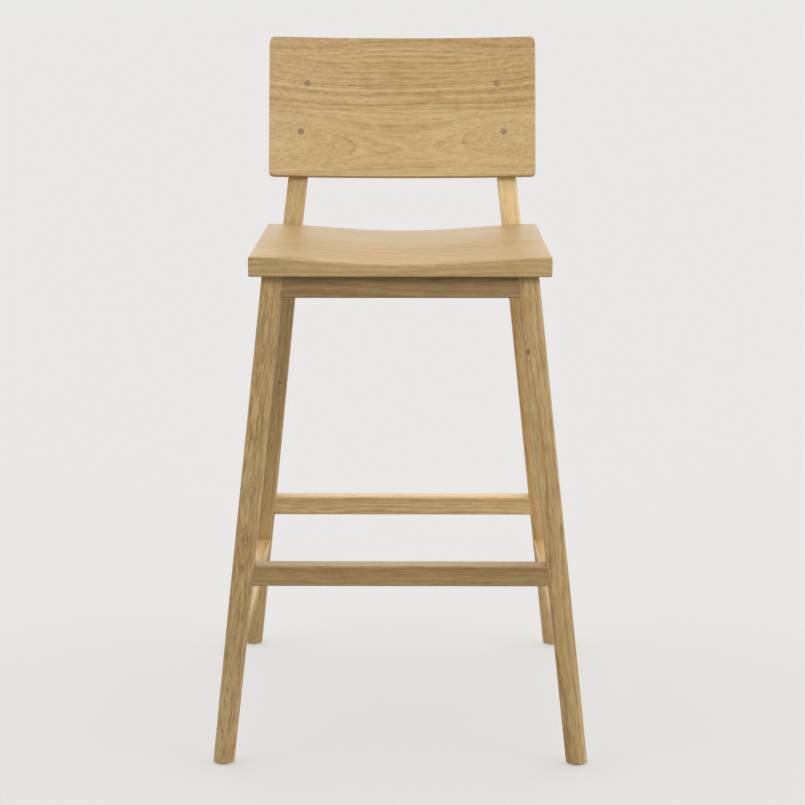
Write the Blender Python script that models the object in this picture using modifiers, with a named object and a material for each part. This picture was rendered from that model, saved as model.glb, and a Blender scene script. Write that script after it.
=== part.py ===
"""Bar stool with a footrest, in solid oak.

Four splayed legs, the rear pair carried up as leaning posts, are tied by an
apron frame under the seat and by four stretchers, the front one being the
footrest.  A hollowed seat panel lies on the aprons and on shoulders cut in the
rear legs, and a curved backrest is screwed to the posts under wooden plugs.

Units are metres, +Z is up, +X is the sitter's left-to-right seen from the
front, and -Y is the front.  The origin is on the floor, in the middle of the
feet.
"""

import math

import bmesh
import bpy
from mathutils import Matrix, Vector

# Overall sizes
BASE_DEPTH = 0.5875          # over the feet, front to back
FOOT_SPACING = 0.519         # between foot centres, side to side
SEAT_WIDTH = 0.431
SEAT_DEPTH = 0.407
SEAT_HEIGHT = 0.744          # floor to the seat's side edges

# Seat panel
SEAT_EDGE = 0.029            # thickness along the side edges
SEAT_DISH = 0.011            # depth of the hollow in the middle
SEAT_SETBACK = 0.0435        # seat front behind the toes
SEAT_OVERHANG = 0.015        # seat front ahead of the front legs
SEAT_ROUND = 0.003
SEAT_STEPS = 24              # facets across the hollow

# Legs
LEG_WIDTH = 0.031
FRONT_TOP_SPACING = 0.364    # between front leg centres, under the seat
REAR_TOP_SPACING = 0.359     # between rear leg centres, under the seat
FRONT_LEG_DEPTH = 0.040      # under the seat
REAR_LEG_DEPTH = 0.046       # under the seat
FRONT_FOOT_DEPTH = 0.028
REAR_FOOT_DEPTH = 0.030
LEG_EDGE = 0.0035            # radius along the leg's edges
FOOT_EDGE = 0.0125           # the same radius at the floor
FOOT_BLEND = 0.26            # height over which the edges round off
FOOT_CHAMFER = 0.0018
SEAT_LEDGE = 0.0136          # shoulder on the rear leg under the seat
CORNER_STEPS = 4

# Posts and backrest
LEAN = math.radians(15.0)
POST_START = 0.030           # post section begins this far above the seat's underside
POST_DEPTH = 0.030
POST_TIP_DEPTH = 0.026
POST_DROP = 0.024            # post ends below the backrest's top edge
BACK_WIDTH = 0.4248
BACK_HEIGHT = 0.2243
BACK_THICKNESS = 0.020
BACK_RADIUS = 1.742          # horizontal curve of the front face
BACK_CORNER = 0.008
BACK_ROUND = 0.003
BACK_CENTRE = 0.1798         # above the seat's side edges
BACK_INSET = 0.0105          # post face behind the middle of the front face
BACK_STEPS = 14

# Rails
APRON_HEIGHT = 0.0316
APRON_THICKNESS = 0.020
APRON_REVEAL = 0.0008        # rail faces behind the leg faces
STRETCHER_DEPTH = 0.0315
SIDE_STRETCHER_WIDTH = 0.028
FOOTREST_TOP = 0.2954
FOOTREST_HEIGHT = 0.0290
REAR_STRETCHER_TOP = 0.2747
REAR_STRETCHER_HEIGHT = 0.031
SIDE_STRETCHER_TOP = 0.199
SIDE_STRETCHER_HEIGHT = 0.028
RAIL_ROUND = 0.0025
TENON_LENGTH = 0.017
TENON_SHOULDER = 0.0055
LOOSE_TENON_THICKNESS = 0.008
LOOSE_TENON_WIDTH = 0.020
LOOSE_TENON_LEG = 0.012      # length inside the leg
LOOSE_TENON_RAIL = 0.015     # length inside the apron

# Corner blocks, screws, plugs and glides
BLOCK_HEIGHT = 0.022
BLOCK_REACH = 0.030
BLOCK_CLEAR = 0.003
SCREW_SHANK = 0.0042
SCREW_HEAD = 0.0082
SCREW_HEAD_HEIGHT = 0.0030
SINK_REACH = 0.030           # how far a screw head's sinking runs out of the wood
BLOCK_SCREW_LENGTH = 0.028
BLOCK_SCREW_BITE = 0.012     # length inside the apron
SEAT_SCREW_LENGTH = 0.030
BACK_SCREW_LENGTH = 0.036
PLUG_DIAMETER = 0.0095
PLUG_DEPTH = 0.006
PLUG_PROUD = 0.0003
PLUG_SPACING = 0.0784        # between the two plugs of a post
PLUG_DROP = 0.0019           # middle of the plugs below the middle of the panel
PLUG_SPREAD = 0.002          # lower plugs outside the middle of the posts
GLIDE_DIAMETER = 0.020
GLIDE_THICKNESS = 0.0022
GLIDE_PIN = 0.0036
GLIDE_PIN_LENGTH = 0.014
FIT = 0.0003                 # clearance between neighbouring pieces
ROUND_STEPS = 14

# Derived places
SEAT_UNDER = SEAT_HEIGHT - SEAT_EDGE
FRONT_TOE = -BASE_DEPTH / 2
REAR_HEEL = BASE_DEPTH / 2
SEAT_FRONT = FRONT_TOE + SEAT_SETBACK
SEAT_REAR = SEAT_FRONT + SEAT_DEPTH
LEG_START = GLIDE_THICKNESS + FIT
APRON_TOP = SEAT_UNDER - FIT
LEAN_UP = Vector((0.0, math.sin(LEAN), math.cos(LEAN)))
LEAN_BACK = Vector((0.0, math.cos(LEAN), -math.sin(LEAN)))
BACK_MIDDLE = SEAT_HEIGHT + BACK_CENTRE
POST_TOP = BACK_MIDDLE + (BACK_HEIGHT / 2 - POST_DROP) * math.cos(LEAN)

SIDES = (("left", -1), ("right", 1))
ENDS = (("front", -1), ("rear", 1))


def mix(start, end, share):
    """Return the value that lies the given share of the way from start to end."""
    return start + (end - start) * share


# ---------------------------------------------------------------- scene set-up

def clear_scene():
    """Remove every object of the open scene."""
    for item in list(bpy.data.objects):
        bpy.data.objects.remove(item, do_unlink=True)


def new_collection(name):
    """Return a new collection linked to the scene."""
    collection = bpy.data.collections.new(name)
    bpy.context.scene.collection.children.link(collection)
    return collection


def principled(name, colour, roughness, metallic=0.0):
    """Return a Principled material with a linear colour."""
    material = bpy.data.materials.new(name)
    material.use_nodes = True
    shader = material.node_tree.nodes["Principled BSDF"]
    shader.inputs["Base Color"].default_value = (*colour, 1.0)
    shader.inputs["Roughness"].default_value = roughness
    shader.inputs["Metallic"].default_value = metallic
    return material


class Stool:
    """Collections, materials and the empty that carries every piece."""

    def __init__(self):
        clear_scene()
        self.pieces = new_collection("bar_stool")
        self.cutters = new_collection("bar_stool_cutters")
        self.root = bpy.data.objects.new("bar_stool_origin", None)
        self.pieces.objects.link(self.root)

    def add(self, name, bm, finish):
        """Turn a bmesh into a named piece with its own material."""
        mesh = bpy.data.meshes.new(name)
        bmesh.ops.recalc_face_normals(bm, faces=bm.faces)
        bm.to_mesh(mesh)
        bm.free()
        mesh.materials.append(principled(name, *finish))
        piece = bpy.data.objects.new(name, mesh)
        piece.parent = self.root
        self.pieces.objects.link(piece)
        return piece

    def cutter(self, name, bm):
        """Turn a bmesh into a cutter that is left out of the model."""
        mesh = bpy.data.meshes.new(name)
        bmesh.ops.recalc_face_normals(bm, faces=bm.faces)
        bm.to_mesh(mesh)
        bm.free()
        cutter = bpy.data.objects.new(name, mesh)
        cutter.display_type = 'WIRE'
        cutter.hide_render = True
        self.cutters.objects.link(cutter)
        return cutter


PANEL_OAK = ((0.55, 0.37, 0.18), 0.55)
LEG_OAK = ((0.36, 0.24, 0.11), 0.55)
RAIL_OAK = ((0.42, 0.28, 0.13), 0.55)
END_GRAIN_OAK = ((0.22, 0.13, 0.06), 0.65)
BEECH = ((0.58, 0.38, 0.22), 0.60)
ZINC_STEEL = ((0.60, 0.58, 0.52), 0.35, 1.0)
NYLON = ((0.05, 0.045, 0.04), 0.60)


# ------------------------------------------------------------- shape functions

def loft(rings):
    """Return a closed bmesh through rings of equal length, capped at both ends."""
    bm = bmesh.new()
    loops = [[bm.verts.new(point) for point in ring] for ring in rings]
    count = len(loops[0])
    for low, high in zip(loops, loops[1:]):
        for i in range(count):
            j = (i + 1) % count
            bm.faces.new((low[i], low[j], high[j], high[i]))
    bm.faces.new(list(reversed(loops[0])))
    bm.faces.new(loops[-1])
    return bm


def rounded_section(centre_x, front, rear, height, radius, width=LEG_WIDTH):
    """Return a level rounded rectangle, counter-clockwise seen from above."""
    right = centre_x + width / 2 - radius
    left = centre_x - width / 2 + radius
    points = []
    corners = ((right, rear - radius, 0), (left, rear - radius, 90),
               (left, front + radius, 180), (right, front + radius, 270))
    for x, y, start in corners:
        for step in range(CORNER_STEPS + 1):
            angle = math.radians(start + 90 * step / CORNER_STEPS)
            points.append(Vector((x + radius * math.cos(angle),
                                  y + radius * math.sin(angle), height)))
    return points


def box(low, high):
    """Return a bmesh box between two corners."""
    bm = bmesh.new()
    bmesh.ops.create_cube(bm, size=1.0)
    for vert in bm.verts:
        vert.co = Vector(mix(low[i], high[i], vert.co[i] + 0.5) for i in range(3))
    return bm


def cylinder(start, direction, length, diameter, steps=ROUND_STEPS):
    """Return a bmesh cylinder that runs from start along direction."""
    bm = bmesh.new()
    turn = direction.to_track_quat('Z', 'Y').to_matrix().to_4x4()
    place = Matrix.Translation(start + direction * (length / 2)) @ turn
    bmesh.ops.create_cone(bm, cap_ends=True, segments=steps, radius1=diameter / 2,
                          radius2=diameter / 2, depth=length, matrix=place)
    return bm


def round_edges(piece, width, segments=2, angle=math.radians(35.0)):
    """Round every sharp edge of a piece."""
    bevel = piece.modifiers.new("eased_edges", 'BEVEL')
    bevel.width = width
    bevel.segments = segments
    bevel.limit_method = 'ANGLE'
    bevel.angle_limit = angle


def cut(piece, *cutters):
    """Take each cutter's volume out of a piece."""
    for cutter in cutters:
        boolean = piece.modifiers.new(cutter.name, 'BOOLEAN')
        boolean.operation = 'DIFFERENCE'
        boolean.solver = 'EXACT'
        boolean.object = cutter


def shade_round(piece):
    """Shade a turned or rounded piece smooth, with its real edges kept."""
    piece.data.shade_smooth()
    piece.data.set_sharp_from_angle(angle=math.radians(35.0))


# --------------------------------------------------------------- leg positions

def front_leg(height):
    """Return the centre, front face and rear face of the front leg at a height."""
    share = height / SEAT_UNDER
    top = SEAT_FRONT + SEAT_OVERHANG
    return (mix(FOOT_SPACING, FRONT_TOP_SPACING, share) / 2,
            mix(FRONT_TOE, top, share),
            mix(FRONT_TOE + FRONT_FOOT_DEPTH, top + FRONT_LEG_DEPTH, share))


def rear_leg(height):
    """Return the centre, front face and rear face of the rear leg at a height."""
    share = height / SEAT_UNDER
    centre = mix(FOOT_SPACING, REAR_TOP_SPACING, share) / 2
    if height <= SEAT_UNDER:
        knee = SEAT_REAR - SEAT_LEDGE
        return (centre, mix(REAR_HEEL - REAR_FOOT_DEPTH, knee, share),
                mix(REAR_HEEL, knee + REAR_LEG_DEPTH, share))
    front = post_face(height)
    above = (height - SEAT_UNDER) / (POST_TOP - SEAT_UNDER)
    depth = mix(POST_DEPTH, POST_TIP_DEPTH, above) / math.cos(LEAN)
    return (centre, front, front + depth)


def post_face(height):
    """Return how far back the leaning post's front face is at a height."""
    return SEAT_REAR + 2 * FIT + (height - SEAT_UNDER) * math.tan(LEAN)


def edge_radius(height):
    """Return the radius along the leg's edges, which grows towards the floor."""
    if height >= FOOT_BLEND:
        return LEG_EDGE
    return LEG_EDGE + (FOOT_EDGE - LEG_EDGE) * (1 - height / FOOT_BLEND) ** 1.5


def leg_rings(faces, heights, side, grow=0.0):
    """Return a leg's sections at the heights, each grown by a clearance."""
    rings = []
    for height in heights:
        centre, front, rear = faces(height)
        rings.append(rounded_section(side * centre, front - grow, rear + grow, height,
                                     edge_radius(height) + grow, LEG_WIDTH + 2 * grow))
    return rings


def foot_rings(faces, side):
    """Return the two lowest sections of a leg, chamfered at the floor."""
    centre, front, rear = faces(LEG_START)
    radius = edge_radius(LEG_START) - FOOT_CHAMFER
    sole = rounded_section(side * centre, front + FOOT_CHAMFER, rear - FOOT_CHAMFER,
                           LEG_START, radius, LEG_WIDTH - 2 * FOOT_CHAMFER)
    return [sole] + leg_rings(faces, [LEG_START + FOOT_CHAMFER], side)


def blend_heights(top):
    """Return the heights of a leg's sections from above the foot to the top."""
    low = [FOOT_BLEND * share for share in (0.12, 0.3, 0.5, 0.75, 1.0)]
    return low + [mix(FOOT_BLEND, top, 0.5), top]


# ----------------------------------------------------------------------- rails

def cross_end(faces, side, low, high, depth):
    """Return the end corners of a rail that runs from side to side."""
    corners = []
    for height, at_rear in ((low, 0), (low, 1), (high, 1), (high, 0)):
        centre, front, _ = faces(height)
        inner = side * (centre - LEG_WIDTH / 2 - FIT)
        corners.append(Vector((inner, front + APRON_REVEAL + at_rear * depth, height)))
    return corners


def side_end(end, side, low, high, width, offset):
    """Return the end corners of a rail that runs from front to back.

    Offset is the distance from the leg's centre line out to the rail's.
    """
    corners = []
    for height, across in ((low, -1), (low, 1), (high, 1), (high, -1)):
        if end == "front":
            centre, _, face = front_leg(height)
            y = face + FIT
        else:
            centre, face, _ = rear_leg(height)
            y = face - FIT
        x = side * (centre + offset + across * width / 2)
        corners.append(Vector((x, y, height)))
    return corners


def inset(corners, distance):
    """Move the corners of a four-sided outline in from its edges."""
    moved = []
    for i, corner in enumerate(corners):
        ahead = (corners[(i + 1) % 4] - corner).normalized()
        behind = (corners[i - 1] - corner).normalized()
        moved.append(corner + (ahead + behind) * distance)
    return moved


def shift(corners, offset):
    """Return the corners moved by one offset."""
    return [corner + offset for corner in corners]


def rail(start, end, outward, tenon):
    """Return a rail between two end outlines, with a tenon on each if asked."""
    rings = [start, end]
    if tenon:
        root_start = inset(start, TENON_SHOULDER)
        root_end = inset(end, TENON_SHOULDER)
        rings = [shift(root_start, -outward * TENON_LENGTH), root_start, start,
                 end, root_end, shift(root_end, outward * TENON_LENGTH)]
    bm = loft(rings)
    weight = bm.edges.layers.float.new("bevel_weight_edge")
    for edge in bm.edges:
        ends = {tuple(round(value, 6) for value in vert.co) for vert in edge.verts}
        pairs = ({tuple(round(v, 6) for v in a), tuple(round(v, 6) for v in b)}
                 for a, b in zip(start, end))
        if ends in pairs:
            edge[weight] = 1.0
    return bm


def ease_long_edges(piece):
    """Round a rail's four long edges and leave its shoulders sharp."""
    bevel = piece.modifiers.new("eased_edges", 'BEVEL')
    bevel.width = RAIL_ROUND
    bevel.segments = 2
    bevel.limit_method = 'WEIGHT'


def mortise(corners, outward):
    """Return the cutter for one tenon, a clearance larger all round."""
    outline = inset(corners, TENON_SHOULDER - FIT)
    return loft([shift(outline, -outward * 2 * FIT),
                 shift(outline, outward * (TENON_LENGTH + FIT))])


def loose_tenon(corners, outward, grow=0.0):
    """Return a loose tenon across a joint, or the cutter for its two slots."""
    middle = sum(corners, Vector()) / 4
    upright = Vector((0.0, 0.0, 1.0))
    across = outward.cross(upright)
    half_width = LOOSE_TENON_WIDTH / 2 + grow
    half_thickness = LOOSE_TENON_THICKNESS / 2 + grow
    outline = [middle + across * half_thickness * a + upright * half_width * b
               for a, b in ((-1, -1), (1, -1), (1, 1), (-1, 1))]
    return loft([shift(outline, -outward * (LOOSE_TENON_RAIL + grow)),
                 shift(outline, outward * (LOOSE_TENON_LEG + grow))])


# ---------------------------------------------------------------- screws, plugs

def screw(stool, name, head_top, direction, length):
    """Make a countersunk wood screw whose head faces away from direction."""
    head = SCREW_HEAD / 2
    shank = SCREW_SHANK / 2
    rim = SCREW_HEAD_HEIGHT / 4
    profile = ((0.0, 0.0), (head, 0.0), (head, -rim), (shank, -SCREW_HEAD_HEIGHT),
               (shank, -length + 2 * shank), (0.0, -length))
    bm = bmesh.new()
    verts = [bm.verts.new((radius, 0.0, height)) for radius, height in profile]
    for upper, lower in zip(verts, verts[1:]):
        bm.edges.new((upper, lower))
    piece = stool.add(name, bm, ZINC_STEEL)
    turn = piece.modifiers.new("turned", 'SCREW')
    turn.axis = 'Z'
    turn.steps = ROUND_STEPS
    turn.render_steps = ROUND_STEPS
    turn.use_merge_vertices = True
    turn.merge_threshold = 0.00001
    turn.use_smooth_shade = True
    piece.location = head_top
    piece.rotation_mode = 'QUATERNION'
    piece.rotation_quaternion = (-direction).to_track_quat('Z', 'Y')
    return piece


def screw_bore(stool, name, head_top, direction, length):
    """Return the cutter for a screw's shank."""
    shank = cylinder(head_top, direction, length + FIT, SCREW_SHANK + 2 * FIT)
    return stool.cutter(name + "_bore", shank)


def screw_sink(stool, name, head_top, direction):
    """Return the cutter that sinks a screw's head below the surface."""
    head = cylinder(head_top - direction * SINK_REACH, direction,
                    SINK_REACH + SCREW_HEAD_HEIGHT + FIT, SCREW_HEAD + 2 * FIT)
    return stool.cutter(name + "_sink", head)


# ------------------------------------------------------------------ main pieces

def make_seat(stool):
    """Make the seat panel, hollowed across its width."""
    half = SEAT_WIDTH / 2
    rings = []
    for y in (SEAT_FRONT, SEAT_REAR):
        ring = [Vector((half, y, SEAT_UNDER)), Vector((-half, y, SEAT_UNDER))]
        for step in range(SEAT_STEPS + 1):
            x = -half + SEAT_WIDTH * step / SEAT_STEPS
            hollow = SEAT_DISH * (1 - (x / half) ** 2) ** 2
            ring.append(Vector((x, y, SEAT_HEIGHT - hollow)))
        rings.append(ring)
    seat = stool.add("seat_panel", loft(rings), PANEL_OAK)
    round_edges(seat, SEAT_ROUND)
    return seat


def back_point(across, up, behind):
    """Return a point of the backrest.

    Across follows the curve from the middle, up runs along the lean, and behind
    is the distance behind the front face.
    """
    angle = across / BACK_RADIUS
    radius = BACK_RADIUS + behind
    middle = Vector((0.0, post_face(BACK_MIDDLE), BACK_MIDDLE)) - LEAN_BACK * BACK_INSET
    bow = radius * math.cos(angle) - BACK_RADIUS
    return middle + Vector((radius * math.sin(angle), 0.0, 0.0)) + LEAN_BACK * bow + LEAN_UP * up


def back_columns():
    """Return the stations along the backrest's curve and its half height there."""
    half = BACK_RADIUS * math.asin(BACK_WIDTH / 2 / BACK_RADIUS)
    flat = half - BACK_CORNER
    columns = []
    for step in range(CORNER_STEPS + 1):
        angle = math.radians(90.0 * step / CORNER_STEPS)
        columns.append((-flat - BACK_CORNER * math.cos(angle),
                        BACK_HEIGHT / 2 - BACK_CORNER + BACK_CORNER * math.sin(angle)))
    for step in range(1, BACK_STEPS):
        columns.append((mix(-flat, flat, step / BACK_STEPS), BACK_HEIGHT / 2))
    mirrored = [(-across, up) for across, up in reversed(columns[:CORNER_STEPS + 1])]
    return columns + mirrored


def make_backrest(stool):
    """Make the curved backrest panel with rounded corners."""
    rings = [[back_point(across, -up, 0.0), back_point(across, up, 0.0),
              back_point(across, up, BACK_THICKNESS), back_point(across, -up, BACK_THICKNESS)]
             for across, up in back_columns()]
    panel = stool.add("backrest_panel", loft(rings), PANEL_OAK)
    round_edges(panel, BACK_ROUND)
    return panel


def make_front_leg(stool, name, side):
    """Make one front leg."""
    rings = foot_rings(front_leg, side) + leg_rings(front_leg, blend_heights(APRON_TOP), side)
    leg = stool.add(name, loft(rings), LEG_OAK)
    shade_round(leg)
    return leg


def make_rear_leg(stool, name, side):
    """Make one rear leg with its leaning post and its shoulder for the seat."""
    post = [SEAT_UNDER + POST_START, mix(SEAT_UNDER, POST_TOP, 0.5), POST_TOP]
    rings = foot_rings(rear_leg, side) + leg_rings(rear_leg, blend_heights(SEAT_UNDER) + post, side)
    leg = stool.add(name, loft(rings), LEG_OAK)
    shade_round(leg)
    centre = side * rear_leg(SEAT_UNDER)[0]
    notch = box((centre - LEG_WIDTH, SEAT_REAR - 3 * SEAT_LEDGE, SEAT_UNDER - FIT),
                (centre + LEG_WIDTH, SEAT_REAR + FIT, SEAT_UNDER + POST_START + SEAT_EDGE))
    cut(leg, stool.cutter(name + "_seat_notch", notch))
    return leg


def house_posts(stool, panel):
    """Let the posts into the back of the backrest panel."""
    heights = [BACK_MIDDLE - BACK_HEIGHT, mix(BACK_MIDDLE - BACK_HEIGHT, POST_TOP, 0.5),
               POST_TOP + FIT]
    for name, side in SIDES:
        housing = stool.cutter("post_housing_" + name, loft(leg_rings(rear_leg, heights, side, FIT)))
        cut(panel, housing)


def make_cross_rails(stool, legs):
    """Make the front and rear aprons and stretchers."""
    outward = Vector((1.0, 0.0, 0.0))
    apron_low = APRON_TOP - APRON_HEIGHT
    for name, faces, top, height in (
            ("front", front_leg, FOOTREST_TOP, FOOTREST_HEIGHT),
            ("rear", rear_leg, REAR_STRETCHER_TOP, REAR_STRETCHER_HEIGHT)):
        ends = [cross_end(faces, side, apron_low, APRON_TOP, APRON_THICKNESS) for side in (-1, 1)]
        apron = stool.add(name + "_apron", rail(*ends, outward, False), RAIL_OAK)
        ease_long_edges(apron)
        feet = [cross_end(faces, side, top - height, top, STRETCHER_DEPTH) for side in (-1, 1)]
        bar = stool.add("footrest" if name == "front" else name + "_stretcher",
                        rail(*feet, outward, True), RAIL_OAK)
        ease_long_edges(bar)
        for (side_name, side), apron_end, foot_end in zip(SIDES, ends, feet):
            leg = legs[name, side_name]
            joint = name + "_apron_tenon_" + side_name
            stool.add(joint, loose_tenon(apron_end, outward * side), BEECH)
            slot = stool.cutter(joint + "_slot", loose_tenon(apron_end, outward * side, FIT))
            cut(apron, slot)
            pocket = stool.cutter(name + "_stretcher_mortise_" + side_name,
                                  mortise(foot_end, outward * side))
            cut(leg, slot, pocket)


def make_side_rails(stool, legs):
    """Make the side aprons and the side stretchers."""
    outward = Vector((0.0, 1.0, 0.0))
    apron_low = APRON_TOP - APRON_HEIGHT
    apron_offset = LEG_WIDTH / 2 - APRON_REVEAL - APRON_THICKNESS / 2
    low = SIDE_STRETCHER_TOP - SIDE_STRETCHER_HEIGHT
    aprons = {}
    for side_name, side in SIDES:
        ends = [side_end(end, side, apron_low, APRON_TOP, APRON_THICKNESS, apron_offset)
                for end, _ in ENDS]
        apron = stool.add(side_name + "_apron", rail(*ends, outward, False), RAIL_OAK)
        ease_long_edges(apron)
        aprons[side_name] = apron
        feet = [side_end(end, side, low, SIDE_STRETCHER_TOP, SIDE_STRETCHER_WIDTH, 0.0)
                for end, _ in ENDS]
        bar = stool.add(side_name + "_stretcher", rail(*feet, outward, True), RAIL_OAK)
        ease_long_edges(bar)
        for (end, way), apron_end, foot_end in zip(ENDS, ends, feet):
            leg = legs[end, side_name]
            joint = side_name + "_apron_tenon_" + end
            stool.add(joint, loose_tenon(apron_end, outward * way), BEECH)
            slot = stool.cutter(joint + "_slot", loose_tenon(apron_end, outward * way, FIT))
            cut(apron, slot)
            pocket = stool.cutter(side_name + "_stretcher_mortise_" + end,
                                  mortise(foot_end, outward * way))
            cut(leg, slot, pocket)
    return aprons


def block_outline(end, side, height):
    """Return a corner block's outline at a height, notched round the leg."""
    faces = front_leg if end == "front" else rear_leg
    centre, front, rear = faces(height)
    cross_face = front + APRON_REVEAL + APRON_THICKNESS + FIT
    inner = centre - LEG_WIDTH / 2 - BLOCK_CLEAR
    side_face = centre + LEG_WIDTH / 2 - APRON_REVEAL - APRON_THICKNESS - FIT
    if end == "front":
        way = 1
        clear = rear + BLOCK_CLEAR
        start = cross_face
    else:
        way = -1
        clear = front - BLOCK_CLEAR
        start = clear
    points = [(inner, clear), (side_face, clear), (side_face, clear + way * BLOCK_REACH),
              (inner - BLOCK_REACH, start)]
    if end == "front":
        points.append((inner, start))
    return [Vector((side * x, y, height)) for x, y in points]


def make_corner_blocks(stool, seat, aprons):
    """Make the four corner blocks with their screws."""
    top = APRON_TOP
    middle = top - BLOCK_HEIGHT / 2
    for end, _ in ENDS:
        for side_name, side in SIDES:
            name = end + "_" + side_name
            rings = [block_outline(end, side, top - BLOCK_HEIGHT), block_outline(end, side, top)]
            block = stool.add("corner_block_" + name, loft(rings), BEECH)
            outline = block_outline(end, side, middle)
            drive_block_screws(stool, name, block, outline, end, side, aprons, seat)


def drive_block_screws(stool, name, block, outline, end, side, aprons, seat):
    """Screw a corner block to its side apron and up into the seat."""
    across = Vector((float(side), 0.0, 0.0))
    up = Vector((0.0, 0.0, 1.0))
    side_apron = aprons["left" if side < 0 else "right"]
    edge = (outline[1] + outline[2]) / 2
    head = edge - across * (BLOCK_SCREW_LENGTH - BLOCK_SCREW_BITE)
    label = "block_screw_" + name
    screw(stool, label, head, across, BLOCK_SCREW_LENGTH)
    bore = screw_bore(stool, label, head, across, BLOCK_SCREW_LENGTH)
    cut(block, bore, screw_sink(stool, label, head, across))
    cut(side_apron, bore)
    inner = (outline[0] + outline[2] + outline[3]) / 3
    head = Vector((inner.x, inner.y, APRON_TOP - BLOCK_HEIGHT + FIT))
    label = "seat_screw_" + name
    screw(stool, label, head, up, SEAT_SCREW_LENGTH)
    bore = screw_bore(stool, label, head, up, SEAT_SCREW_LENGTH)
    cut(block, bore, screw_sink(stool, label, head, up))
    cut(seat, bore)


def make_back_screws(stool, panel, legs):
    """Screw the backrest to the posts and plug the screw holes."""
    for side_name, side in SIDES:
        for row, above, outside in (("upper", PLUG_SPACING / 2, 0.0), ("lower", -PLUG_SPACING / 2, PLUG_SPREAD)):
            rise = above - PLUG_DROP
            height = BACK_MIDDLE + rise * math.cos(LEAN)
            across = side * (rear_leg(height)[0] + outside)
            face = back_point(BACK_RADIUS * math.asin(across / BACK_RADIUS), rise, 0.0)
            name = row + "_" + side_name
            start = face - LEAN_BACK * PLUG_PROUD
            plug = cylinder(start, LEAN_BACK, PLUG_DEPTH, PLUG_DIAMETER, 2 * ROUND_STEPS)
            shade_round(stool.add("back_plug_" + name, plug, END_GRAIN_OAK))
            head = start + LEAN_BACK * (PLUG_DEPTH + FIT)
            label = "back_screw_" + name
            screw(stool, label, head, LEAN_BACK, BACK_SCREW_LENGTH)
            pocket = cylinder(start - LEAN_BACK * PLUG_DEPTH, LEAN_BACK,
                              2 * PLUG_DEPTH + SCREW_HEAD_HEIGHT + 3 * FIT,
                              PLUG_DIAMETER + 2 * FIT, 2 * ROUND_STEPS)
            bore = screw_bore(stool, label, head, LEAN_BACK, BACK_SCREW_LENGTH)
            cut(panel, stool.cutter(label + "_pocket", pocket), bore)
            cut(legs["rear", side_name], bore)


def make_glides(stool, legs):
    """Make a nail-in glide under each foot."""
    up = Vector((0.0, 0.0, 1.0))
    for (end, side_name), leg in legs.items():
        faces = front_leg if end == "front" else rear_leg
        centre, front, rear = faces(0.0)
        side = -1 if side_name == "left" else 1
        foot = Vector((side * centre, (front + rear) / 2, 0.0))
        radius = GLIDE_DIAMETER / 2
        pin = GLIDE_PIN / 2
        profile = ((0.0, GLIDE_PIN_LENGTH), (pin, GLIDE_PIN_LENGTH - pin), (pin, GLIDE_THICKNESS),
                   (radius, GLIDE_THICKNESS), (radius, 0.0), (0.0, 0.0))
        bm = bmesh.new()
        verts = [bm.verts.new((across, 0.0, height)) for across, height in profile]
        for upper, lower in zip(verts, verts[1:]):
            bm.edges.new((upper, lower))
        name = "glide_" + end + "_" + side_name
        glide = stool.add(name, bm, NYLON)
        turn = glide.modifiers.new("turned", 'SCREW')
        turn.axis = 'Z'
        turn.steps = 2 * ROUND_STEPS
        turn.render_steps = 2 * ROUND_STEPS
        turn.use_merge_vertices = True
        turn.merge_threshold = 0.00001
        glide.location = foot
        hole = cylinder(foot, up, GLIDE_PIN_LENGTH + FIT, GLIDE_PIN + 2 * FIT)
        cut(leg, stool.cutter(name + "_hole", hole))


def main():
    """Build every piece of the stool."""
    stool = Stool()
    seat = make_seat(stool)
    panel = make_backrest(stool)
    legs = {}
    for side_name, side in SIDES:
        legs["front", side_name] = make_front_leg(stool, "front_leg_" + side_name, side)
        legs["rear", side_name] = make_rear_leg(stool, "rear_leg_" + side_name, side)
    house_posts(stool, panel)
    make_cross_rails(stool, legs)
    side_aprons = make_side_rails(stool, legs)
    make_corner_blocks(stool, seat, side_aprons)
    make_back_screws(stool, panel, legs)
    make_glides(stool, legs)


main()
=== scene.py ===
"""Looks of a solid oak bar stool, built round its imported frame.

The stool is a glued frame of splayed legs, aprons and stretchers, with a hollowed seat
and a curved backrest.  Every piece is skinned again at a maker's finish: edges are
eased with true arcs, tenons sit in their mortises, screws have threads and recesses,
and each board is sawn from its own place in a modelled log, so that its rings, pores
and knots run through the solid and meet at its corners.
"""

import logging
import math
from dataclasses import dataclass, field
from enum import Enum
from typing import Callable, Optional, Sequence, Union

import bmesh
import bpy
from mathutils import Matrix, Vector


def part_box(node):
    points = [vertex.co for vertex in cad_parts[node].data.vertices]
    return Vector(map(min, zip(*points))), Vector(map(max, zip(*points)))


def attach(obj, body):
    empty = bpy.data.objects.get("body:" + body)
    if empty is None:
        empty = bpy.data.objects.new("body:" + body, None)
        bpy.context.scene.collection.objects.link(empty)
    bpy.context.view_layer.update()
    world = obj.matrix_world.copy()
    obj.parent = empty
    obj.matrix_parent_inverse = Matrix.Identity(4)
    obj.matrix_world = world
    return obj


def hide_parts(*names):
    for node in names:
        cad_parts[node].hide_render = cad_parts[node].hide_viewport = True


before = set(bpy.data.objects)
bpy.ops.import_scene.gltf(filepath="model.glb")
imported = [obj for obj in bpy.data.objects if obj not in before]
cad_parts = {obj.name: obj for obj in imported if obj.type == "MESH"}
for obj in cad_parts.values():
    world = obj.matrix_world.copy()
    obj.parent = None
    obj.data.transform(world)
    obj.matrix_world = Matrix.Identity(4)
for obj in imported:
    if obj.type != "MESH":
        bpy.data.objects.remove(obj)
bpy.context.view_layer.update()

LOG = logging.getLogger("bar_stool")
BODY = "root"
MM = 0.001
UP = Vector((0.0, 0.0, 1.0))
ACROSS = Vector((1.0, 0.0, 0.0))
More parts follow.
